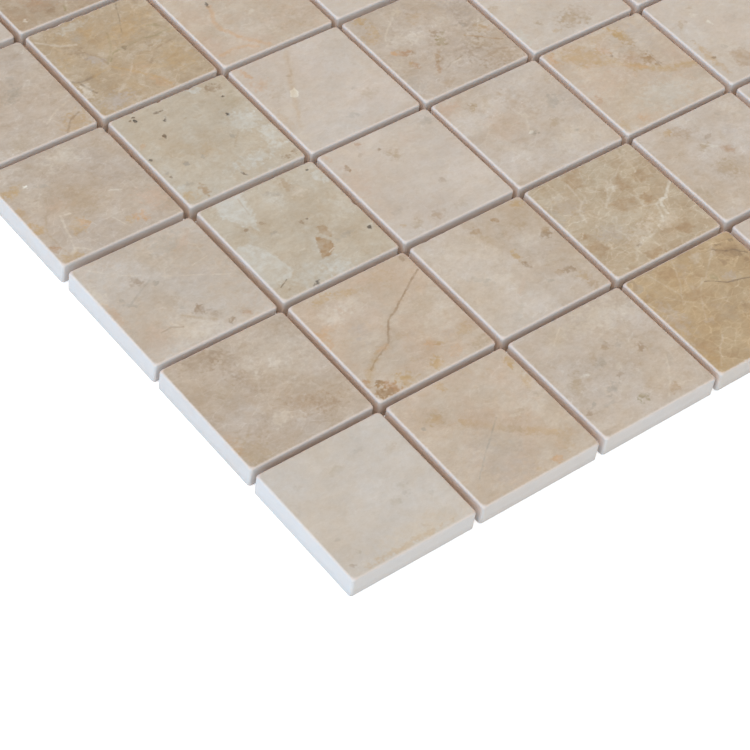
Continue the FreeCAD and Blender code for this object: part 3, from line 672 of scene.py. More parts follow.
              (19.5, 40.0, 2.4, 4.0, 20, "ochre", 0.4, 1.0), (33, 34, 9, 5, 20, "ochre", 0.4, 1.0),
              (15.0, 38.5, 2.0, 2.4, 0, "grey", 0.4, 0.9), (40.0, 12.0, 6, 6, 0, "ochre", 0.35, 1.0),
              (11.0, 33.0, 2.2, 5.0, 30, "brown", 0.3, 1.0), (4.0, 30.0, 2.4, 3.0, 0, "ochre", 0.35, 1.0),
              (17.5, 44.5, 7.0, 2.0, 5, "milk", 0.45, 1.0), (42.5, 30.5, 2.0, 1.0, -40, "olive", 0.5, 0.9)],
    "r5_c3": [(14.5, 30.2, 0.59, 1.2, -20, "dark", 0.68, 0.8), (12.6, 23.0, 3.0, 4.0, 0, "pale", 0.4, 1.0),
              (26.5, 19.5, 1.7, 1.3, 0, "white", 0.25, 0.9), (21.0, 32.0, 5, 4, 0, "tan", 0.3, 1.0),
              (34, 10, 9, 6, 0, "tan", 0.30, 1.0), (3.0, 12.0, 3.0, 9.0, 0, "rose", 0.3, 1.0)],
    "r6_c2": [(21.2, 3.2, 0.8, 1.6, -20, "olive", 0.85, 0.9), (5.0, 4.6, 1.0, 1.0, 0, "pale", 0.85, 0.8),
              (14, 10, 6, 3, -35, "rust", 0.32, 1.0), (16.0, 5.0, 2.0, 1.2, 30, "brown", 0.45, 0.9)],
}

print(sum(map(len, STAINS.values())), "stains")

# %% Shards: (corners in order, tint, amount, softness of the rim in mm)
SHARDS = {
    "r3_c2": [([(7.0, 48.5), (18.0, 48.5), (16.8, 40.0), (13.0, 31.5), (9.8, 35.5), (6.0, 41.0)],
               "milk", 0.75, 2.0),
              ([(-1, 27.5), (7.4, 27.5), (8.7, 22.6), (12.3, 12.5), (10.0, 8.0), (-1, 7.0)],
               "milk", 0.72, 1.2),
              ([(27.1, 18.3), (30.4, 14.5), (29.6, 11.2), (25.4, 8.8), (22.9, 9.1), (24.0, 12.3)],
               "clast", 0.72, 0.8),
              ([(30.7, 21.5), (32.7, 21.0), (33.0, 17.7), (31.6, 16.0), (29.6, 18.0), (29.4, 20.4)],
               "clast", 0.5, 1.0)],
    "r4_c3": [([(11.2, 26.7), (12.9, 28.9), (15.0, 29.8), (15.0, 26.9), (13.4, 25.1), (11.8, 25.7)],
               "white", 0.9, 0.5)],
    "r2_c4": [([(21.5, 28.5), (27.4, 29.1), (31.2, 26.4), (30.7, 22.0), (26.9, 21.0), (22.6, 23.1)],
               "clast", 0.40, 1.8),
              ([(32.8, 25.8), (36.1, 26.4), (37.5, 23.7), (35.0, 21.3), (33.1, 22.6)], "clast", 0.50, 1.3),
              ([(15.5, 46.5), (20.8, 46.4), (21.5, 42.0), (19.3, 39.3), (15.6, 39.9)], "clast", 0.50, 1.6),
              ([(29.6, 35.5), (33.4, 37.2), (35.5, 33.4), (33.4, 30.1), (30.1, 31.2)], "clast", 0.45, 1.6),
              ([(37.5, 35.4), (43.0, 35.6), (43.6, 30.6), (38.0, 30.1)], "clast", 0.42, 1.8),
              ([(0.0, 17.2), (6.4, 17.1), (7.4, 12.8), (2.0, 10.7)], "clast", 0.5, 1.4),
              ([(15.6, 4.7), (22.6, 4.4), (23.7, 1.0), (16.1, 0.5)], "clast", 0.5, 1.2),
              ([(33.4, 8.0), (38.9, 8.5), (40.0, 4.2), (35.5, 3.1)], "clast", 0.45, 1.6),
              ([(10.4, 40.6), (14.9, 42.8), (16.1, 36.5), (12.7, 34.8)], "tan", 0.5, 1.8),
              ([(4.0, 45.0), (9.0, 45.5), (9.0, 41.0), (5.0, 41.0)], "tan", 0.45, 1.6)],
    "r1_c4": [([(12.7, 46.6), (19.3, 46.0), (18.8, 39.9), (13.5, 40.6)], "clast", 0.42, 1.4),
              ([(37.4, 43.1), (45.3, 41.4), (46.0, 37.7), (39.9, 37.2)], "brown", 0.30, 1.2),
              ([(18.8, 20.5), (22.0, 22.8), (25.8, 20.4), (26.0, 16.6), (20.0, 15.0)], "tan", 0.4, 1.0),
              ([(14.0, 34.5), (21.0, 33.4), (19.2, 28.4), (15.0, 29.8)], "clast", 0.36, 1.6),
              ([(1.5, 15.0), (8.5, 14.0), (7.4, 8.5), (2.4, 8.4)], "clast", 0.36, 1.4)],
    "r2_c3": [([(-1, 49), (21, 49), (27.5, 24), (26, -1), (-1, -1)], "pale", 0.17, 2.6),
              ([(21.5, 49), (49, 49), (49, 24), (28, 24)], "tan", 0.26, 2.2),
              ([(28, 24), (49, 24), (49, -1), (26.5, -1)], "tan", 0.22, 2.2)],
    "r2_c5": [([(23.8, 29.2), (27.0, 28.4), (28.9, 25.6), (27.2, 23.6), (24.6, 25.6)], "rust", 0.26, 1.0)],
    "r3_c6": [([(11.4, 13.8), (17.4, 12.8), (19.4, 6.4), (14.2, 2.8), (9.8, 6.0)], "clast", 0.40, 1.4)],
}

print(sum(map(len, SHARDS.values())), "shards")

# %% Veins: (points, width, tint, amount, softness of the edge)
VEINS = {
    "r1_c2": [([(16.6, 30.1), (21.5, 25.3), (29.5, 18.5), (38.8, 11.0)], 2.4, "ochre", 0.22, 0.9),
              ([(6.4, 9.6), (14.0, 16.0), (22.0, 22.0), (27.0, 26.0)], 0.5, "grey", 0.5, 0.9)],
    "r1_c3": [([(12.0, 39.5), (19.0, 44.5)], 0.6, "pale", 0.6, 0.9),
              ([(30.0, 3.0), (36.0, 9.0), (41.0, 17.0)], 0.7, "pale", 0.4, 0.9)],
    "r1_c4": [([(24.5, 34.2), (27.6, 32.4), (31.0, 29.6), (35.5, 28.6), (39.3, 27.4)],
               0.6, "umber", 0.5, 0.7),
              ([(37.0, 44.0), (40.5, 41.0), (44.0, 39.5), (46.5, 36.5)], 0.6, "umber", 0.45, 0.9),
              ([(10.0, 47.0), (12.0, 38.0), (13.5, 33.0)], 0.6, "cream", 0.26, 0.9),
              ([(21.5, 47.0), (17.0, 38.0), (13.0, 33.0), (11.0, 30.0)], 0.6, "cream", 0.26, 0.9),
              ([(8.0, 36.0), (12.0, 31.0), (17.0, 27.0), (26.0, 25.0)], 0.6, "cream", 0.26, 0.9),
              ([(25.0, 36.0), (19.0, 30.0), (17.0, 27.0), (12.0, 20.0)], 0.6, "cream", 0.26, 0.9),
              ([(20.0, 33.0), (25.5, 35.0), (31.0, 39.0), (36.0, 43.0)], 0.6, "cream", 0.34, 0.9),
              ([(3.0, 3.0), (8.0, 9.0), (13.0, 13.0)], 0.6, "cream", 0.26, 0.9)],
    "r2_c1": [([(30.0, 31.0), (35.0, 35.0)], 0.6, "pale", 0.25, 0.9),
              ([(22.0, 25.0), (27.0, 35.0)], 0.7, "pale", 0.2, 0.9)],
    "r2_c2": [([(47.3, 39.2), (42.0, 36.4), (33.4, 31.4), (29.0, 28.6), (24.8, 26.8), (21.5, 22.6),
                (18.3, 18.8), (15.0, 17.2), (11.0, 15.4), (6.4, 12.6)], 0.65, "brown", 0.54, 0.7),
              ([(33.4, 31.4), (24.8, 26.8), (18.3, 18.8), (11.8, 16.4)], 1.8, "clast", 0.22, 0.9),
              ([(17.0, 18.0), (13.5, 17.4)], 1.6, "orange", 0.5, 0.9),
              ([(11.8, 16.4), (5.8, 12.6), (1.5, 8.0)], 2.2, "ochre", 0.4, 0.9)],
    "r2_c4": [([(48.0, 26.0), (44.5, 23.4), (41.0, 20.6), (38.8, 20.8), (37.2, 18.3), (36.1, 14.4)],
               1.0, "white", 0.55, 0.8),
              ([(40.0, 20.6), (36.0, 19.8), (34.5, 16.0), (32.3, 12.3)], 0.7, "white", 0.4, 0.9),
              ([(36.1, 14.4), (32.3, 13.0), (26.5, 10.0), (21.5, 8.5), (16.0, 7.8), (11.8, 3.1)],
               1.0, "white", 0.22, 0.9),
              ([(30.0, 37.0), (27.5, 33.0), (22.6, 30.1), (19.5, 27.5)], 0.9, "white", 0.32, 0.9),
              ([(29.5, 33.8), (26.5, 34.4), (24.0, 32.0)], 0.6, "white", 0.32, 0.9),
              ([(15.5, 43.0), (14.0, 34.0), (10.0, 31.0), (9.0, 26.0)], 0.8, "pale", 0.34, 0.9),
              ([(19.5, 22.0), (15.5, 18.0), (16.5, 14.0)], 0.7, "pale", 0.34, 0.9),
              ([(31.0, 30.5), (32.0, 26.0), (31.5, 21.0), (36.0, 20.0)], 0.6, "pale", 0.34, 0.9),
              ([(24.0, 34.0), (20.0, 37.0), (23.0, 45.5)], 0.6, "pale", 0.34, 0.9),
              ([(38.0, 41.0), (33.0, 38.0), (30.0, 37.0)], 0.6, "pale", 0.34, 0.9)],
    "r2_c5": [([(20.0, 33.5), (25.0, 28.5)], 0.7, "white", 0.3, 0.9)],
    "r3_c1": [([(24.7, 30.7), (34.0, 25.5), (45.3, 19.3)], 0.6, "pale", 0.42, 0.9),
              ([(35.6, 29.6), (42.0, 30.6)], 0.5, "white", 0.28, 0.9),
              ([(9.0, 26.0), (20.0, 31.5)], 0.7, "grey", 0.4, 0.9),
              ([(20.0, 13.0), (28.0, 6.0)], 1.0, "tan", 0.45, 0.9),
              ([(39.0, 40.5), (42.5, 36.5), (41.5, 32.0)], 0.5, "pale", 0.35, 0.9),
              ([(24.0, 28.0), (27.0, 33.0), (33.0, 35.0)], 0.5, "pale", 0.35, 0.9),
              ([(10.0, 10.4), (14.0, 10.8), (17.5, 9.0)], 0.5, "brown", 0.35, 0.9),
              ([(5.0, 46.0), (12.0, 39.0), (20.0, 34.0)], 0.6, "pale", 0.4, 0.9)],
    "r3_c2": [([(3.1, 5.8), (6.9, 7.7)], 0.4, "umber", 0.6, 0.8),
              ([(15.5, 46.0), (14.5, 38.0)], 0.6, "tan", 0.4, 0.9),
              ([(26.5, 10.2), (29.4, 11.2)], 0.5, "pale", 0.6, 0.8)],
    "r3_c4": [([(22.0, 21.0), (25.0, 25.5), (24.5, 29.5)], 0.8, "pale", 0.36, 0.9)],
    "r3_c5": [([(8.0, 41.0), (19.3, 32.8), (26.0, 26.5)], 3.6, "ochre", 0.36, 0.9),
              ([(26.0, 26.5), (29.1, 23.9), (34.0, 20.5), (38.8, 17.8), (48.0, 16.0)],
               3.0, "ochre", 0.62, 0.9),
              ([(24.0, 28.0), (30.0, 23.4)], 1.2, "orange", 0.5, 0.9)],
    "r4_c1": [([(12.3, 19.3), (10.6, 14.4), (9.4, 9.5)], 0.8, "pale", 0.58, 0.75),
              ([(8.8, 8.0), (7.4, 3.7), (5.6, 2.6)], 0.7, "pale", 0.45, 0.75),
              ([(12.3, 19.3), (15.6, 18.8)], 0.7, "pale", 0.5, 0.75),
              ([(5.6, 3.3), (8.0, 5.0), (10.5, 3.0), (12.0, 1.6)], 0.7, "pale", 0.5, 0.75),
              ([(8.0, 22.0), (4.0, 15.0), (4.5, 6.0)], 0.7, "tan", 0.4, 0.9),
              ([(26.5, 10.0), (29.0, 4.0)], 0.5, "pale", 0.5, 0.9)],
    "r4_c2": [([(30.0, 16.0), (36.0, 22.0)], 0.8, "tan", 0.35, 0.9)],
    "r4_c3": [([(23.7, 46.3), (19.3, 37.7), (15.0, 31.2), (10.1, 21.5)], 2.0, "ochre", 0.28, 0.9),
              ([(23.0, 44.0), (19.5, 38.5), (18.5, 35.5)], 0.7, "brown", 0.15, 0.9),
              ([(10.1, 21.5), (5.0, 13.0)], 1.2, "ochre", 0.26, 0.9)],
    "r4_c4": [([(35.0, 20.5), (40.0, 16.5), (45.5, 12.0)], 0.9, "clast", 0.55, 0.9),
              ([(24.0, 21.0), (19.5, 17.0), (15.5, 11.5)], 1.2, "clast", 0.36, 0.9),
              ([(8.0, 33.0), (12.0, 37.0), (20.0, 43.0)], 0.8, "pale", 0.5, 0.9),
              ([(17.0, 9.5), (21.0, 11.5), (27.0, 12.6)], 0.6, "brown", 0.35, 0.9)],
    "r5_c1": [([(36.6, 1.0), (40.5, 5.0), (45.3, 7.7)], 0.8, "brown", 0.5, 0.9),
              ([(33.0, 8.0), (39.0, 12.0), (46.0, 14.0)], 0.8, "pale", 0.5, 0.9)],
    "r5_c2": [([(1.0, 20.4), (3.0, 19.2), (5.0, 18.9), (9.1, 19.4)], 0.9, "umber", 0.32, 0.9),
              ([(3.0, 18.0), (4.0, 15.0), (5.2, 11.8)], 0.9, "umber", 0.5, 0.9),
              ([(18.5, 22.5), (22.0, 26.0), (26.9, 26.2)], 0.7, "olive", 0.6, 0.9),
              ([(26.9, 26.2), (33.0, 27.2), (40.0, 26.0), (47.5, 26.6)], 0.9, "olive", 0.65, 0.9),
              ([(9.1, 19.1), (17.0, 20.5), (22.0, 15.0), (28.0, 8.0), (30.0, 3.0)],
               1.0, "ochre", 0.5, 0.9),
              ([(30.5, 33.0), (34.5, 41.0), (37.5, 47.0)], 0.5, "umber", 0.4, 0.9),
              ([(8.0, 33.0), (13.0, 31.0), (16.5, 26.5), (17.0, 22.0)], 0.9, "brown", 0.4, 0.9),
              ([(17.0, 22.0), (23.0, 29.0), (26.0, 36.0)], 0.8, "olive", 0.35, 0.9),
              ([(1.5, 44.0), (8.0, 38.0), (13.0, 36.0)], 0.9, "pale", 0.5, 0.9),
              ([(30.0, 15.0), (36.0, 20.0), (46.0, 22.0)], 0.8, "brown", 0.3, 0.9),
              ([(12.0, 8.0), (20.0, 13.0), (26.0, 20.0)], 0.8, "cream", 0.45, 0.9)],
    "r5_c3": [([(14.5, 29.0), (13.6, 26.0), (11.2, 22.0), (11.4, 16.5), (15.0, 9.5), (21.0, 2.0)],
               1.8, "orange", 0.46, 0.7),
              ([(2.5, 5.5), (9.0, 6.5), (14.5, 5.0), (17.0, 3.0)], 1.3, "orange", 0.4, 0.7)],
    "r6_c2": [([(21.0, 2.0), (24.0, 8.0)], 0.8, "cream", 0.5, 0.9)],
}

print(sum(map(len, VEINS.values())), "veins")

# %% [markdown]
# The layers, stains, shards and veins are mixed over the ground one after another. A stain's mask is the
# distance from its middle, measured in half widths, so it is one at the rim. A shard's is the distance past
# the nearest of its sides. A vein's is the distance to a line between two points: turned so that the line
# lies along X, that is the length of what is left of the offset when half the line has been taken off its X
# part. A fraying noise is added to each distance, and the amount comes and goes with another. Every stone is
# broken to some degree, the brown beds most of all: Voronoi cells of two sizes, stretched along the bed,
# give the pieces, and the edges of the cells, shown only here and there, are the healed hairlines.

# %% Marble: patterns that have a size in millimetres
BLOCK_STEPS = (97.3, 36.001, 11.9)
BENDS = ((5.0, 2.2), (1.3, 0.8))
SLIGHTLY = 0.4
LAYER_STEP = 31.7
LAYER_DETAIL = 4.0
ROUGHNESS_OF_NOISE = 0.6


def blobs(tree, place, size, low, high, bottom, top, detail=1.5, kind="SMOOTHSTEP"):
    """Blobs about one size across: noise, which lies round a half, is taken from between low and high to
    between bottom and top. The rest is cut off."""
    raw = add(tree, "TexNoise", None, {"Vector": place, "Scale": 1 / size, "Detail": detail,
                                       "Roughness": ROUGHNESS_OF_NOISE})
    return add(tree, "MapRange", {"interpolation_type": kind},
               {"Value": raw, "From Min": low, "From Max": high, "To Min": bottom, "To Max": top})


def pattern_fields(tree, corner, number):
    """What all patterns of one chip share. The place is in mm from the chip's corner, and in the block it
    is moved by a step for each chip. Both are bent by noises: place plus reach times noise less a half."""
    place = add(tree, "Mapping", {"vector_type": "POINT"},
                {"Vector": add(tree, "TexCoord").outputs["Object"], "Location": (-corner[0], -corner[1], 0),
                 "Scale": (1 / MM,) * 3})
    block = add(tree, "VectorMath", {"operation": "ADD"},
                {0: place, 1: tuple(number * step for step in BLOCK_STEPS)})
    bent = place
    slightly_bent = place
    for size, reach in BENDS:
        push = add(tree, "TexNoise", None, {"Vector": block, "Scale": 1 / size, "Detail": 1.5,
                                            "Roughness": ROUGHNESS_OF_NOISE}).outputs["Color"]
        push = add(tree, "VectorMath", {"operation": "SUBTRACT"}, {0: push, 1: (0.5, 0.5, 0.5)})
        bent = add(tree, "VectorMath", {"operation": "MULTIPLY_ADD"}, {0: push, 1: (reach,) * 3, 2: bent})
        slightly_bent = add(tree, "VectorMath", {"operation": "MULTIPLY_ADD"},
                            {0: push, 1: (reach * SLIGHTLY,) * 3, 2: slightly_bent})
    bent_block = add(tree, "VectorMath", {"operation": "SUBTRACT"}, {0: bent, 1: place})
    bent_block = add(tree, "VectorMath", {"operation": "ADD"}, {0: block, 1: bent_block})
    return {
        "block": block,
        "bent": bent,
        "slightly_bent": slightly_bent,
        "bent_block": bent_block,
        "fray": blobs(tree, block, 1.5, 0.25, 0.75, -0.8, 0.8, kind="LINEAR"),
        "patches": blobs(tree, block, 2.6, 0.32, 0.64, 0.7, 1.35),
        "gaps": blobs(tree, block, 3.2, 0.34, 0.58, 0.45, 1.2),
    }


# %% Marble: what is drawn on a chip
DEEP = 1000
STAIN_OUTSIDE = 1 / 3
STAIN_INSIDE = 0.7
SHARD_FRAY = 0.8
VEIN_FRAY = 0.35
SOFT_VEIN = 0.75


def painted(tree, colour, name, distance, outside, inside, amount, strength):
    """Mixes a tint in: nothing where the distance is outside, the amount where it is inside, and in between
    by a smooth step, times a field that makes it come and go."""
    mask = add(tree, "MapRange", {"interpolation_type": "SMOOTHSTEP"},
               {"Value": distance, "From Min": outside, "From Max": inside, "To Max": amount})
    mask = add(tree, "Math", {"operation": "MULTIPLY"}, {0: mask, 1: strength})
    return add(tree, "MixRGB", None, {0: mask, 1: colour, 2: linear(TINTS[name])})


def stain(tree, fields, colour, shape):
    """An ellipse: the distance is the offset from its middle, turned and counted in half widths."""
    x, y, half_width, half_height, turn, name, amount, soft = shape
    offset = add(tree, "Mapping", {"vector_type": "TEXTURE"},
                 {"Vector": fields["bent"], "Location": (x, y, 0), "Rotation": (0, 0, np.radians(turn)),
                  "Scale": (half_width, half_height, DEEP)})
    away = add(tree, "VectorMath", {"operation": "LENGTH"}, {0: offset}).outputs["Value"]
    away = add(tree, "Math", {"operation": "ADD"}, {0: away, 1: fields["fray"]})
    return painted(tree, colour, name, away, 1 + soft * STAIN_OUTSIDE, 1 - soft * STAIN_INSIDE, amount,
                   fields["patches"])


def shard(tree, fields, colour, shape):
    """A piece with straight sides: the distance is the largest of the distances past its sides, and it is
    below zero inside."""
    corners, name, amount, soft = shape
    corners = np.array(corners)
    middle = corners.mean(0)
    past = None
    for start, end in zip(corners, np.roll(corners, -1, axis=0)):
        run = end - start
        out = np.array([run[1], -run[0]]) / np.hypot(*run)
        if out @ (middle - start) > 0:
            out = -out
        side = add(tree, "VectorMath", {"operation": "DOT_PRODUCT"},
                   {0: fields["slightly_bent"], 1: (*out, 0)}).outputs["Value"]
        side = add(tree, "Math", {"operation": "SUBTRACT"}, {0: side, 1: float(out @ start)})
        past = side if past is None else add(tree, "Math", {"operation": "MAXIMUM"}, {0: past, 1: side})
    fray = add(tree, "Math", {"operation": "MULTIPLY"}, {0: fields["fray"], 1: SHARD_FRAY * soft})
    frayed = add(tree, "Math", {"operation": "ADD"}, {0: past, 1: fray})
    return painted(tree, colour, name, frayed, soft / 2, -soft / 2, amount, fields["patches"])


def vein(tree, fields, colour, line):
    """A line of runs: the distance is the least of the distances to its runs. A soft one comes and goes."""
    points, width, name, amount, soft = line
    points = np.array(points)
    nearest = None
    for middle, run in zip((points[1:] + points[:-1]) / 2, points[1:] - points[:-1]):
        offset = add(tree, "Mapping", {"vector_type": "TEXTURE"},
                     {"Vector": fields["slightly_bent"], "Location": (*middle, 0),
                      "Rotation": (0, 0, np.arctan2(run[1], run[0])), "Scale": (1, 1, DEEP)})
        folded = add(tree, "VectorMath", {"operation": "ABSOLUTE"}, {0: offset})
        beyond = add(tree, "VectorMath", {"operation": "SUBTRACT"},
                     {0: folded, 1: (np.hypot(*run) / 2, 0, 0)})
        clear = add(tree, "VectorMath", {"operation": "MAXIMUM"}, {0: beyond, 1: (0, 0, 0)})
        away = add(tree, "VectorMath", {"operation": "LENGTH"}, {0: clear}).outputs["Value"]
        nearest = away if nearest is None else add(tree, "Math", {"operation": "MINIMUM"},
                                                   {0: nearest, 1: away})
    fray = add(tree, "Math", {"operation": "MULTIPLY"}, {0: fields["fray"], 1: VEIN_FRAY * width})
    frayed = add(tree, "Math", {"operation": "ADD"}, {0: nearest, 1: fray})
    comes_and_goes = fields["gaps" if soft > SOFT_VEIN else "patches"]
    return painted(tree, colour, name, frayed, width / 2 * (1 + soft), width / 2 * (1 - soft), amount,
                   comes_and_goes)


# %% Marble: broken pieces and grain
GRAIN_TINT = (0.75, 1.0, 1.35)
GRAINS = ((0.45, 0.034), (1.1, 0.042), (2.8, 0.042), (7.0, 0.045), (20.0, 0.07))
WARMTHS = ((3.0, 0.02), (20.0, 0.03))
WARMTH_TINT = (0.5, 0, -0.7)
PIECES = ((8.5, 0.028, 0.065), (3.8, 0.028, 0.055))
HAIRLINE_HALF_WIDTH = 0.17
HEALED_SIZE = 7.0


def shaded(tree, colour, value):
    """The colour made paler or darker by a value round zero. Blue follows most, so darker is also warmer."""
    factor = add(tree, "VectorMath", {"operation": "MULTIPLY_ADD"},
                 {0: value, 1: GRAIN_TINT, 2: (1, 1, 1)})
    return add(tree, "VectorMath", {"operation": "MULTIPLY"}, {0: colour, 1: factor})


def broken(tree, fields, along_bed, colour, amount):
    """Pieces of two sizes that broke and healed: each a little darker or paler than its neighbours, with a
    pale hairline that comes and goes along some of the joins."""
    often = 0.1 * amount
    healed = blobs(tree, fields["block"], HEALED_SIZE, 0.56 - often, 0.62 - often, 0.0, 1.0)
    comes_and_goes = add(tree, "Math", {"operation": "MULTIPLY"}, {0: fields["gaps"], 1: fields["patches"]})
    healed = add(tree, "Math", {"operation": "MULTIPLY"}, {0: healed, 1: comes_and_goes})
    for size, reach, line in PIECES:
        cells = {"Vector": along_bed, "Scale": 1 / size, "Randomness": 1.0}
        pieces = add(tree, "TexVoronoi", None, cells)
        one = add(tree, "SeparateXYZ", None, {0: pieces.outputs["Color"]})
        shade = add(tree, "MapRange", None,
                    {"Value": one, "To Min": -reach * amount, "To Max": reach * amount})
        rims = add(tree, "TexVoronoi", {"feature": "DISTANCE_TO_EDGE"}, cells)
        rims = add(tree, "MapRange", {"interpolation_type": "SMOOTHSTEP"},
                   {"Value": rims, "From Min": HAIRLINE_HALF_WIDTH * (1 + 0.5 * amount) / size,
                    "From Max": 0.0, "To Max": line * (0.3 + amount)})
        rims = add(tree, "Math", {"operation": "MULTIPLY"}, {0: rims, 1: healed})
        change = add(tree, "Math", {"operation": "ADD"}, {0: shade, 1: rims})
        colour = shaded(tree, colour, change)
    return colour


def stone_colour(tree, fields, label, number, stone):
    """The polished face's colour: the ground, its layers, its broken pieces, what is drawn, and grain."""
    ground, liveliness, brokenness, layers = STONES[stone]
    colour = add(tree, "RGB")
    colour.outputs[0].default_value = linear(ground)
    for count, (size, low, high, name, amount) in enumerate(layers):
        layer_place = add(tree, "VectorMath", {"operation": "ADD"},
                          {0: fields["bent_block"], 1: (0, 0, LAYER_STEP * count)})
        mask = blobs(tree, layer_place, size, low, high, 0.0, amount, LAYER_DETAIL)
        colour = add(tree, "MixRGB", None, {0: mask, 1: colour, 2: linear(TINTS[name])})
    along_bed = add(tree, "Mapping", {"vector_type": "POINT"},
                    {"Vector": fields["bent_block"], "Rotation": (0, 0, np.radians(-50 + 9 * (number % 4))),
                     "Scale": (0.7, 1.2, 1)})
    colour = broken(tree, fields, along_bed, colour, brokenness)
    for draw, drawn in ((stain, STAINS), (shard, SHARDS), (vein, VEINS)):
        for shape in drawn.get(label, []):
            colour = draw(tree, fields, colour, shape)

    for size, reach in GRAINS:
        reach = reach * liveliness
        colour = shaded(tree, colour, blobs(tree, along_bed, size, 0.3, 0.7, -reach, reach, kind="LINEAR"))
    for size, reach in WARMTHS:
        warmth = blobs(tree, fields["bent_block"], size, 0.3, 0.7, -1.0, 1.0, 0.5, "LINEAR")
        warmth = add(tree, "VectorMath", {"operation": "MULTIPLY_ADD"},
                     {0: warmth, 1: tuple(reach * share for share in WARMTH_TINT), 2: (1, 1, 1)})
        colour = add(tree, "VectorMath", {"operation": "MULTIPLY"}, {0: colour, 1: warmth})
    return colour


# %% [markdown]
# The face is polished and the side is sawn. Polished limestone reflects the room softly, so its roughness is
# about a third. The saw leaves the side matt and nearly white with fine level ridges, here noise that is a
# fifth of a millimetre from ridge to ridge and is stretched to two millimetres along them. Both come from
# the polish that each vertex keeps, and the line between them is a little worn.

# %% Marble: the surface
SAWN_STONE = "decdc3"
SAWN_SHARE = 0.8
ROUGHNESS_SAWN = 0.75
ROUGHNESS_POLISHED = 0.33
STONE_IOR = 1.5
WEAR = 0.12
SAW_MARKS = (0.5, 0.5, 5.0)
SAW_MARK_HEIGHT = 0.08


def marble(label, corner, number, stone):
    """Polished marble with sawn sides for one chip, whose corner is given in mm of the sheet."""
    material, tree = new_tree("polished marble " + label)
    fields = pattern_fields(tree, corner, number)
    colour = stone_colour(tree, fields, label, number, stone)

    polish = add(tree, "Attribute", {"attribute_name": "polish"}).outputs["Fac"]
    worn = blobs(tree, fields["block"], 0.6, 0.3, 0.7, -WEAR, WEAR, kind="LINEAR")
    worn = add(tree, "Math", {"operation": "ADD"}, {0: polish, 1: worn})
    face = add(tree, "MapRange", {"interpolation_type": "SMOOTHSTEP"},
               {"Value": worn, "From Min": 0.1, "From Max": 0.85})
    sawn = add(tree, "MixRGB", None, {0: SAWN_SHARE, 1: colour, 2: linear(SAWN_STONE)})
    shown = add(tree, "MixRGB", None, {0: face, 1: sawn, 2: colour})
    rough = add(tree, "MapRange", None,
                {"Value": polish, "To Min": ROUGHNESS_SAWN, "To Max": ROUGHNESS_POLISHED})

    saw_place = add(tree, "Mapping", {"vector_type": "POINT"},
                    {"Vector": fields["block"], "Scale": SAW_MARKS})
    marks = add(tree, "TexNoise", None, {"Vector": saw_place, "Scale": 1.0, "Detail": 1.5,
                                         "Roughness": ROUGHNESS_OF_NOISE})
    unpolished = add(tree, "Math", {"operation": "SUBTRACT"}, {0: 1.0, 1: polish})
    marks = add(tree, "Math", {"operation": "MULTIPLY"}, {0: marks, 1: unpolished})
    bump = add(tree, "Bump", None, {"Height": marks, "Strength": 0.5, "Distance": SAW_MARK_HEIGHT * MM})
    surface = add(tree, "BsdfPrincipled", None,
                  {"Base Color": shown, "Roughness": rough, "IOR": STONE_IOR, "Normal": bump})
    add(tree, "OutputMaterial", None, {"Surface": surface})
    return material


# %% [markdown]
# Now the chips themselves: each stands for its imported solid, in the same place, and rides on the sheet.

# %% Make the chips
chips = []
for row in range(6):
    stones = LAYOUT[row].split()
    for column in range(6):
        label = "r%d_c%d" % (row + 1, column + 1)
        number = row * 6 + column
        low, high = (np.array(corner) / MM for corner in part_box("chip_" + label))
        chip = bpy.data.objects.new("marble_" + label, chip_mesh(label, low, high, number + 1))
        chip.data.materials.append(marble(label, low, number, stones[column]))
        bpy.context.scene.collection.objects.link(chip)
        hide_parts("chip_" + label)
        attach(chip, "root")
        chips.append(chip)
chip_triangles = sum(len(face.vertices) - 2 for chip in chips for face in chip.data.polygons)
print(len(chips), "chips,", chip_triangles, "triangles")

# %% [markdown]
# ## The net
# Under the chips is an open net of glass thread, woven one over, one under, about five millimetres from
# thread to thread, and dipped in white size so that it keeps its shape and takes the glue. Curves with a
# bevel would do it, but sixty-one threads each way cross nearly four thousand times, so each set of threads
# is one mesh made from arrays. A thread is a flattened tube: its middle line rises and dips by a cosine with
# one half wave from crossing to crossing, and every other thread starts with the opposite sign.

# %% Woven threads
THREAD_SPACING = 4.9
THREADS_EACH_SIDE = 30
THREAD_WIDTH = 0.8
THREAD_THICKNESS = 0.2
NET_THICKNESS = 0.4
STEPS_PER_MESH = 4
SECTION_STEPS = 6
SIDE_WANDER = 0.12
WANDER_LENGTHS = (23, 9)


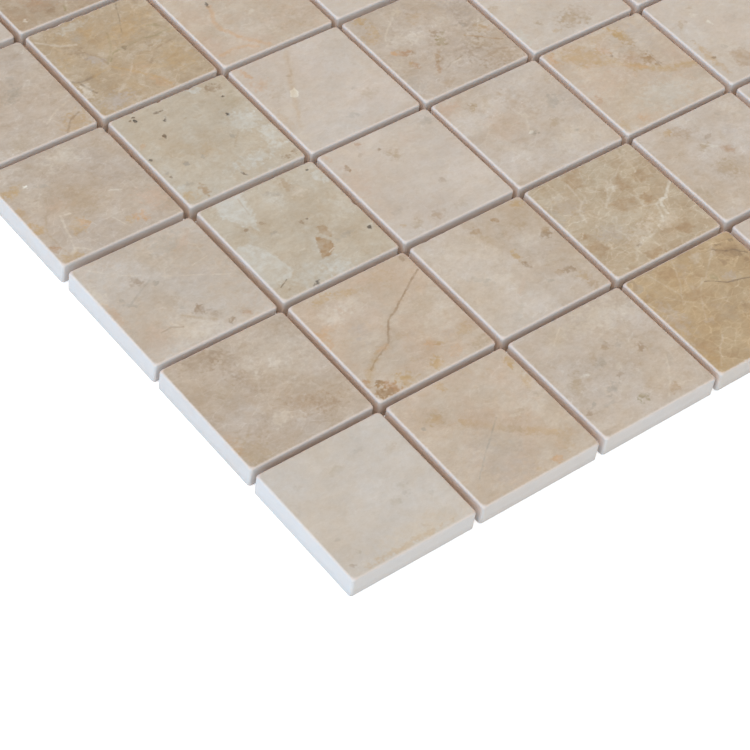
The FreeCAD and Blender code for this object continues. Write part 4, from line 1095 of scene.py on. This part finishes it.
def threads(name, along_y, seed):
    """All threads of one direction as one mesh in metres. Ring by ring, the section is an ellipse of the
    thread's width and thickness, carried along its wavy line; the ends are closed by one face each."""
    generator = np.random.default_rng(seed)
    count = 2 * THREADS_EACH_SIDE + 1
    number = np.arange(count) - THREADS_EACH_SIDE
    reach = THREADS_EACH_SIDE * THREAD_SPACING + THREAD_WIDTH / 2
    steps = 2 * THREADS_EACH_SIDE * STEPS_PER_MESH
    inner = np.linspace(-THREADS_EACH_SIDE * THREAD_SPACING, THREADS_EACH_SIDE * THREAD_SPACING, steps + 1)
    run = np.concatenate([[-reach], inner, [reach]])
    swell = np.cos(np.pi * run / THREAD_SPACING)[None] * (-1.0) ** np.abs(number)[:, None]
    if not along_y:
        swell = -swell
    rise = (NET_THICKNESS - THREAD_THICKNESS) / 2
    middle_z = NET_THICKNESS / 2 + rise * swell
    phases = generator.uniform(0, FULL_TURN, (2, count, 1))
    waves = [np.sin(run / length + phase) for length, phase in zip(WANDER_LENGTHS, phases)]
    drift = SIDE_WANDER * np.mean(waves, axis=0)
    across = number[:, None] * THREAD_SPACING + drift
    angle = 2 * np.pi * np.arange(SECTION_STEPS) / SECTION_STEPS
    side = across[:, :, None] + THREAD_WIDTH / 2 * np.cos(angle)
    height = middle_z[:, :, None] + THREAD_THICKNESS / 2 * np.sin(angle) / np.sin(angle).max()
    height = np.clip(height, 0, NET_THICKNESS)
    along = np.broadcast_to(run[None, :, None], side.shape)
    points = np.stack([side, along, height] if along_y else [along, side, height], -1).reshape(-1, 3)

    rings = len(run)
    ring = np.arange(rings - 1)[:, None] * SECTION_STEPS
    j = np.arange(SECTION_STEPS)
    k = (j + 1) % SECTION_STEPS
    quads = np.stack([ring + j, ring + SECTION_STEPS + j, ring + SECTION_STEPS + k, ring + k], -1)
    ends = [j.tolist(), ((rings - 1) * SECTION_STEPS + j[::-1]).tolist()]
    if along_y:
        quads = quads[..., ::-1]
        ends = [face[::-1] for face in ends]
    first = np.arange(count) * rings * SECTION_STEPS
    faces = (quads.reshape(-1, 4)[None] + first[:, None, None]).reshape(-1, 4).tolist()
    faces += [[start + corner for corner in face] for start in first.tolist() for face in ends]
    mesh = bpy.data.meshes.new(name)
    mesh.from_pydata((points * MM).tolist(), [], faces)
    mesh.shade_smooth()
    return mesh


# %% [markdown]
# The thread is a bundle of glass filaments in an opaque white size. Up close it is faintly ribbed along its
# length, matt, and a touch grey where the size is thin. The ribs are noise that is stretched along the
# thread: about a tenth of a millimetre across it, which is coarser than real filaments so that it shows.

# %% Sized glass thread material
THIN_SIZE = "c9cbc8"
THICK_SIZE = "ecebe6"
ROUGHNESS_OF_SIZE = 0.62
RIBS_ACROSS = 10.0
RIBS_ALONG = 0.4
RIB_HEIGHT = 0.04


def sized_glass(name, along_y):
    """White size over glass filaments, ribbed along the thread."""
    material, tree = new_tree(name)
    sheet_place = add(tree, "TexCoord").outputs["Object"]
    stretch = (RIBS_ACROSS, RIBS_ALONG, 1.0) if along_y else (RIBS_ALONG, RIBS_ACROSS, 1.0)
    place = add(tree, "Mapping", None, {"Vector": sheet_place, "Scale": tuple(part / MM for part in stretch)})
    ribs = add(tree, "TexNoise", None, {"Vector": place, "Scale": 1.0, "Detail": 3.0})
    shade = add(tree, "MapRange", None, {"Value": ribs, "From Min": 0.35, "From Max": 0.65})
    colour = add(tree, "MixRGB", None, {0: shade, 1: linear(THIN_SIZE), 2: linear(THICK_SIZE)})
    bump = add(tree, "Bump", None, {"Height": ribs, "Strength": 0.6, "Distance": RIB_HEIGHT * MM})
    surface = add(tree, "BsdfPrincipled", None,
                  {"Base Color": colour, "Roughness": ROUGHNESS_OF_SIZE, "IOR": 1.5, "Normal": bump})
    add(tree, "OutputMaterial", None, {"Surface": surface})
    return material


# %% Make the net
net_nodes = sorted(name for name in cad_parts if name.startswith("net_"))
for name, along_y, seed in (("net_warp_threads", True, 201), ("net_weft_threads", False, 202)):
    net = bpy.data.objects.new(name, threads(name, along_y, seed))
    net.data.materials.append(sized_glass("sized glass thread " + name, along_y))
    bpy.context.scene.collection.objects.link(net)
    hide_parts(*net_nodes)
    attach(net, "root")
    print(name, len(net.data.polygons), "faces")
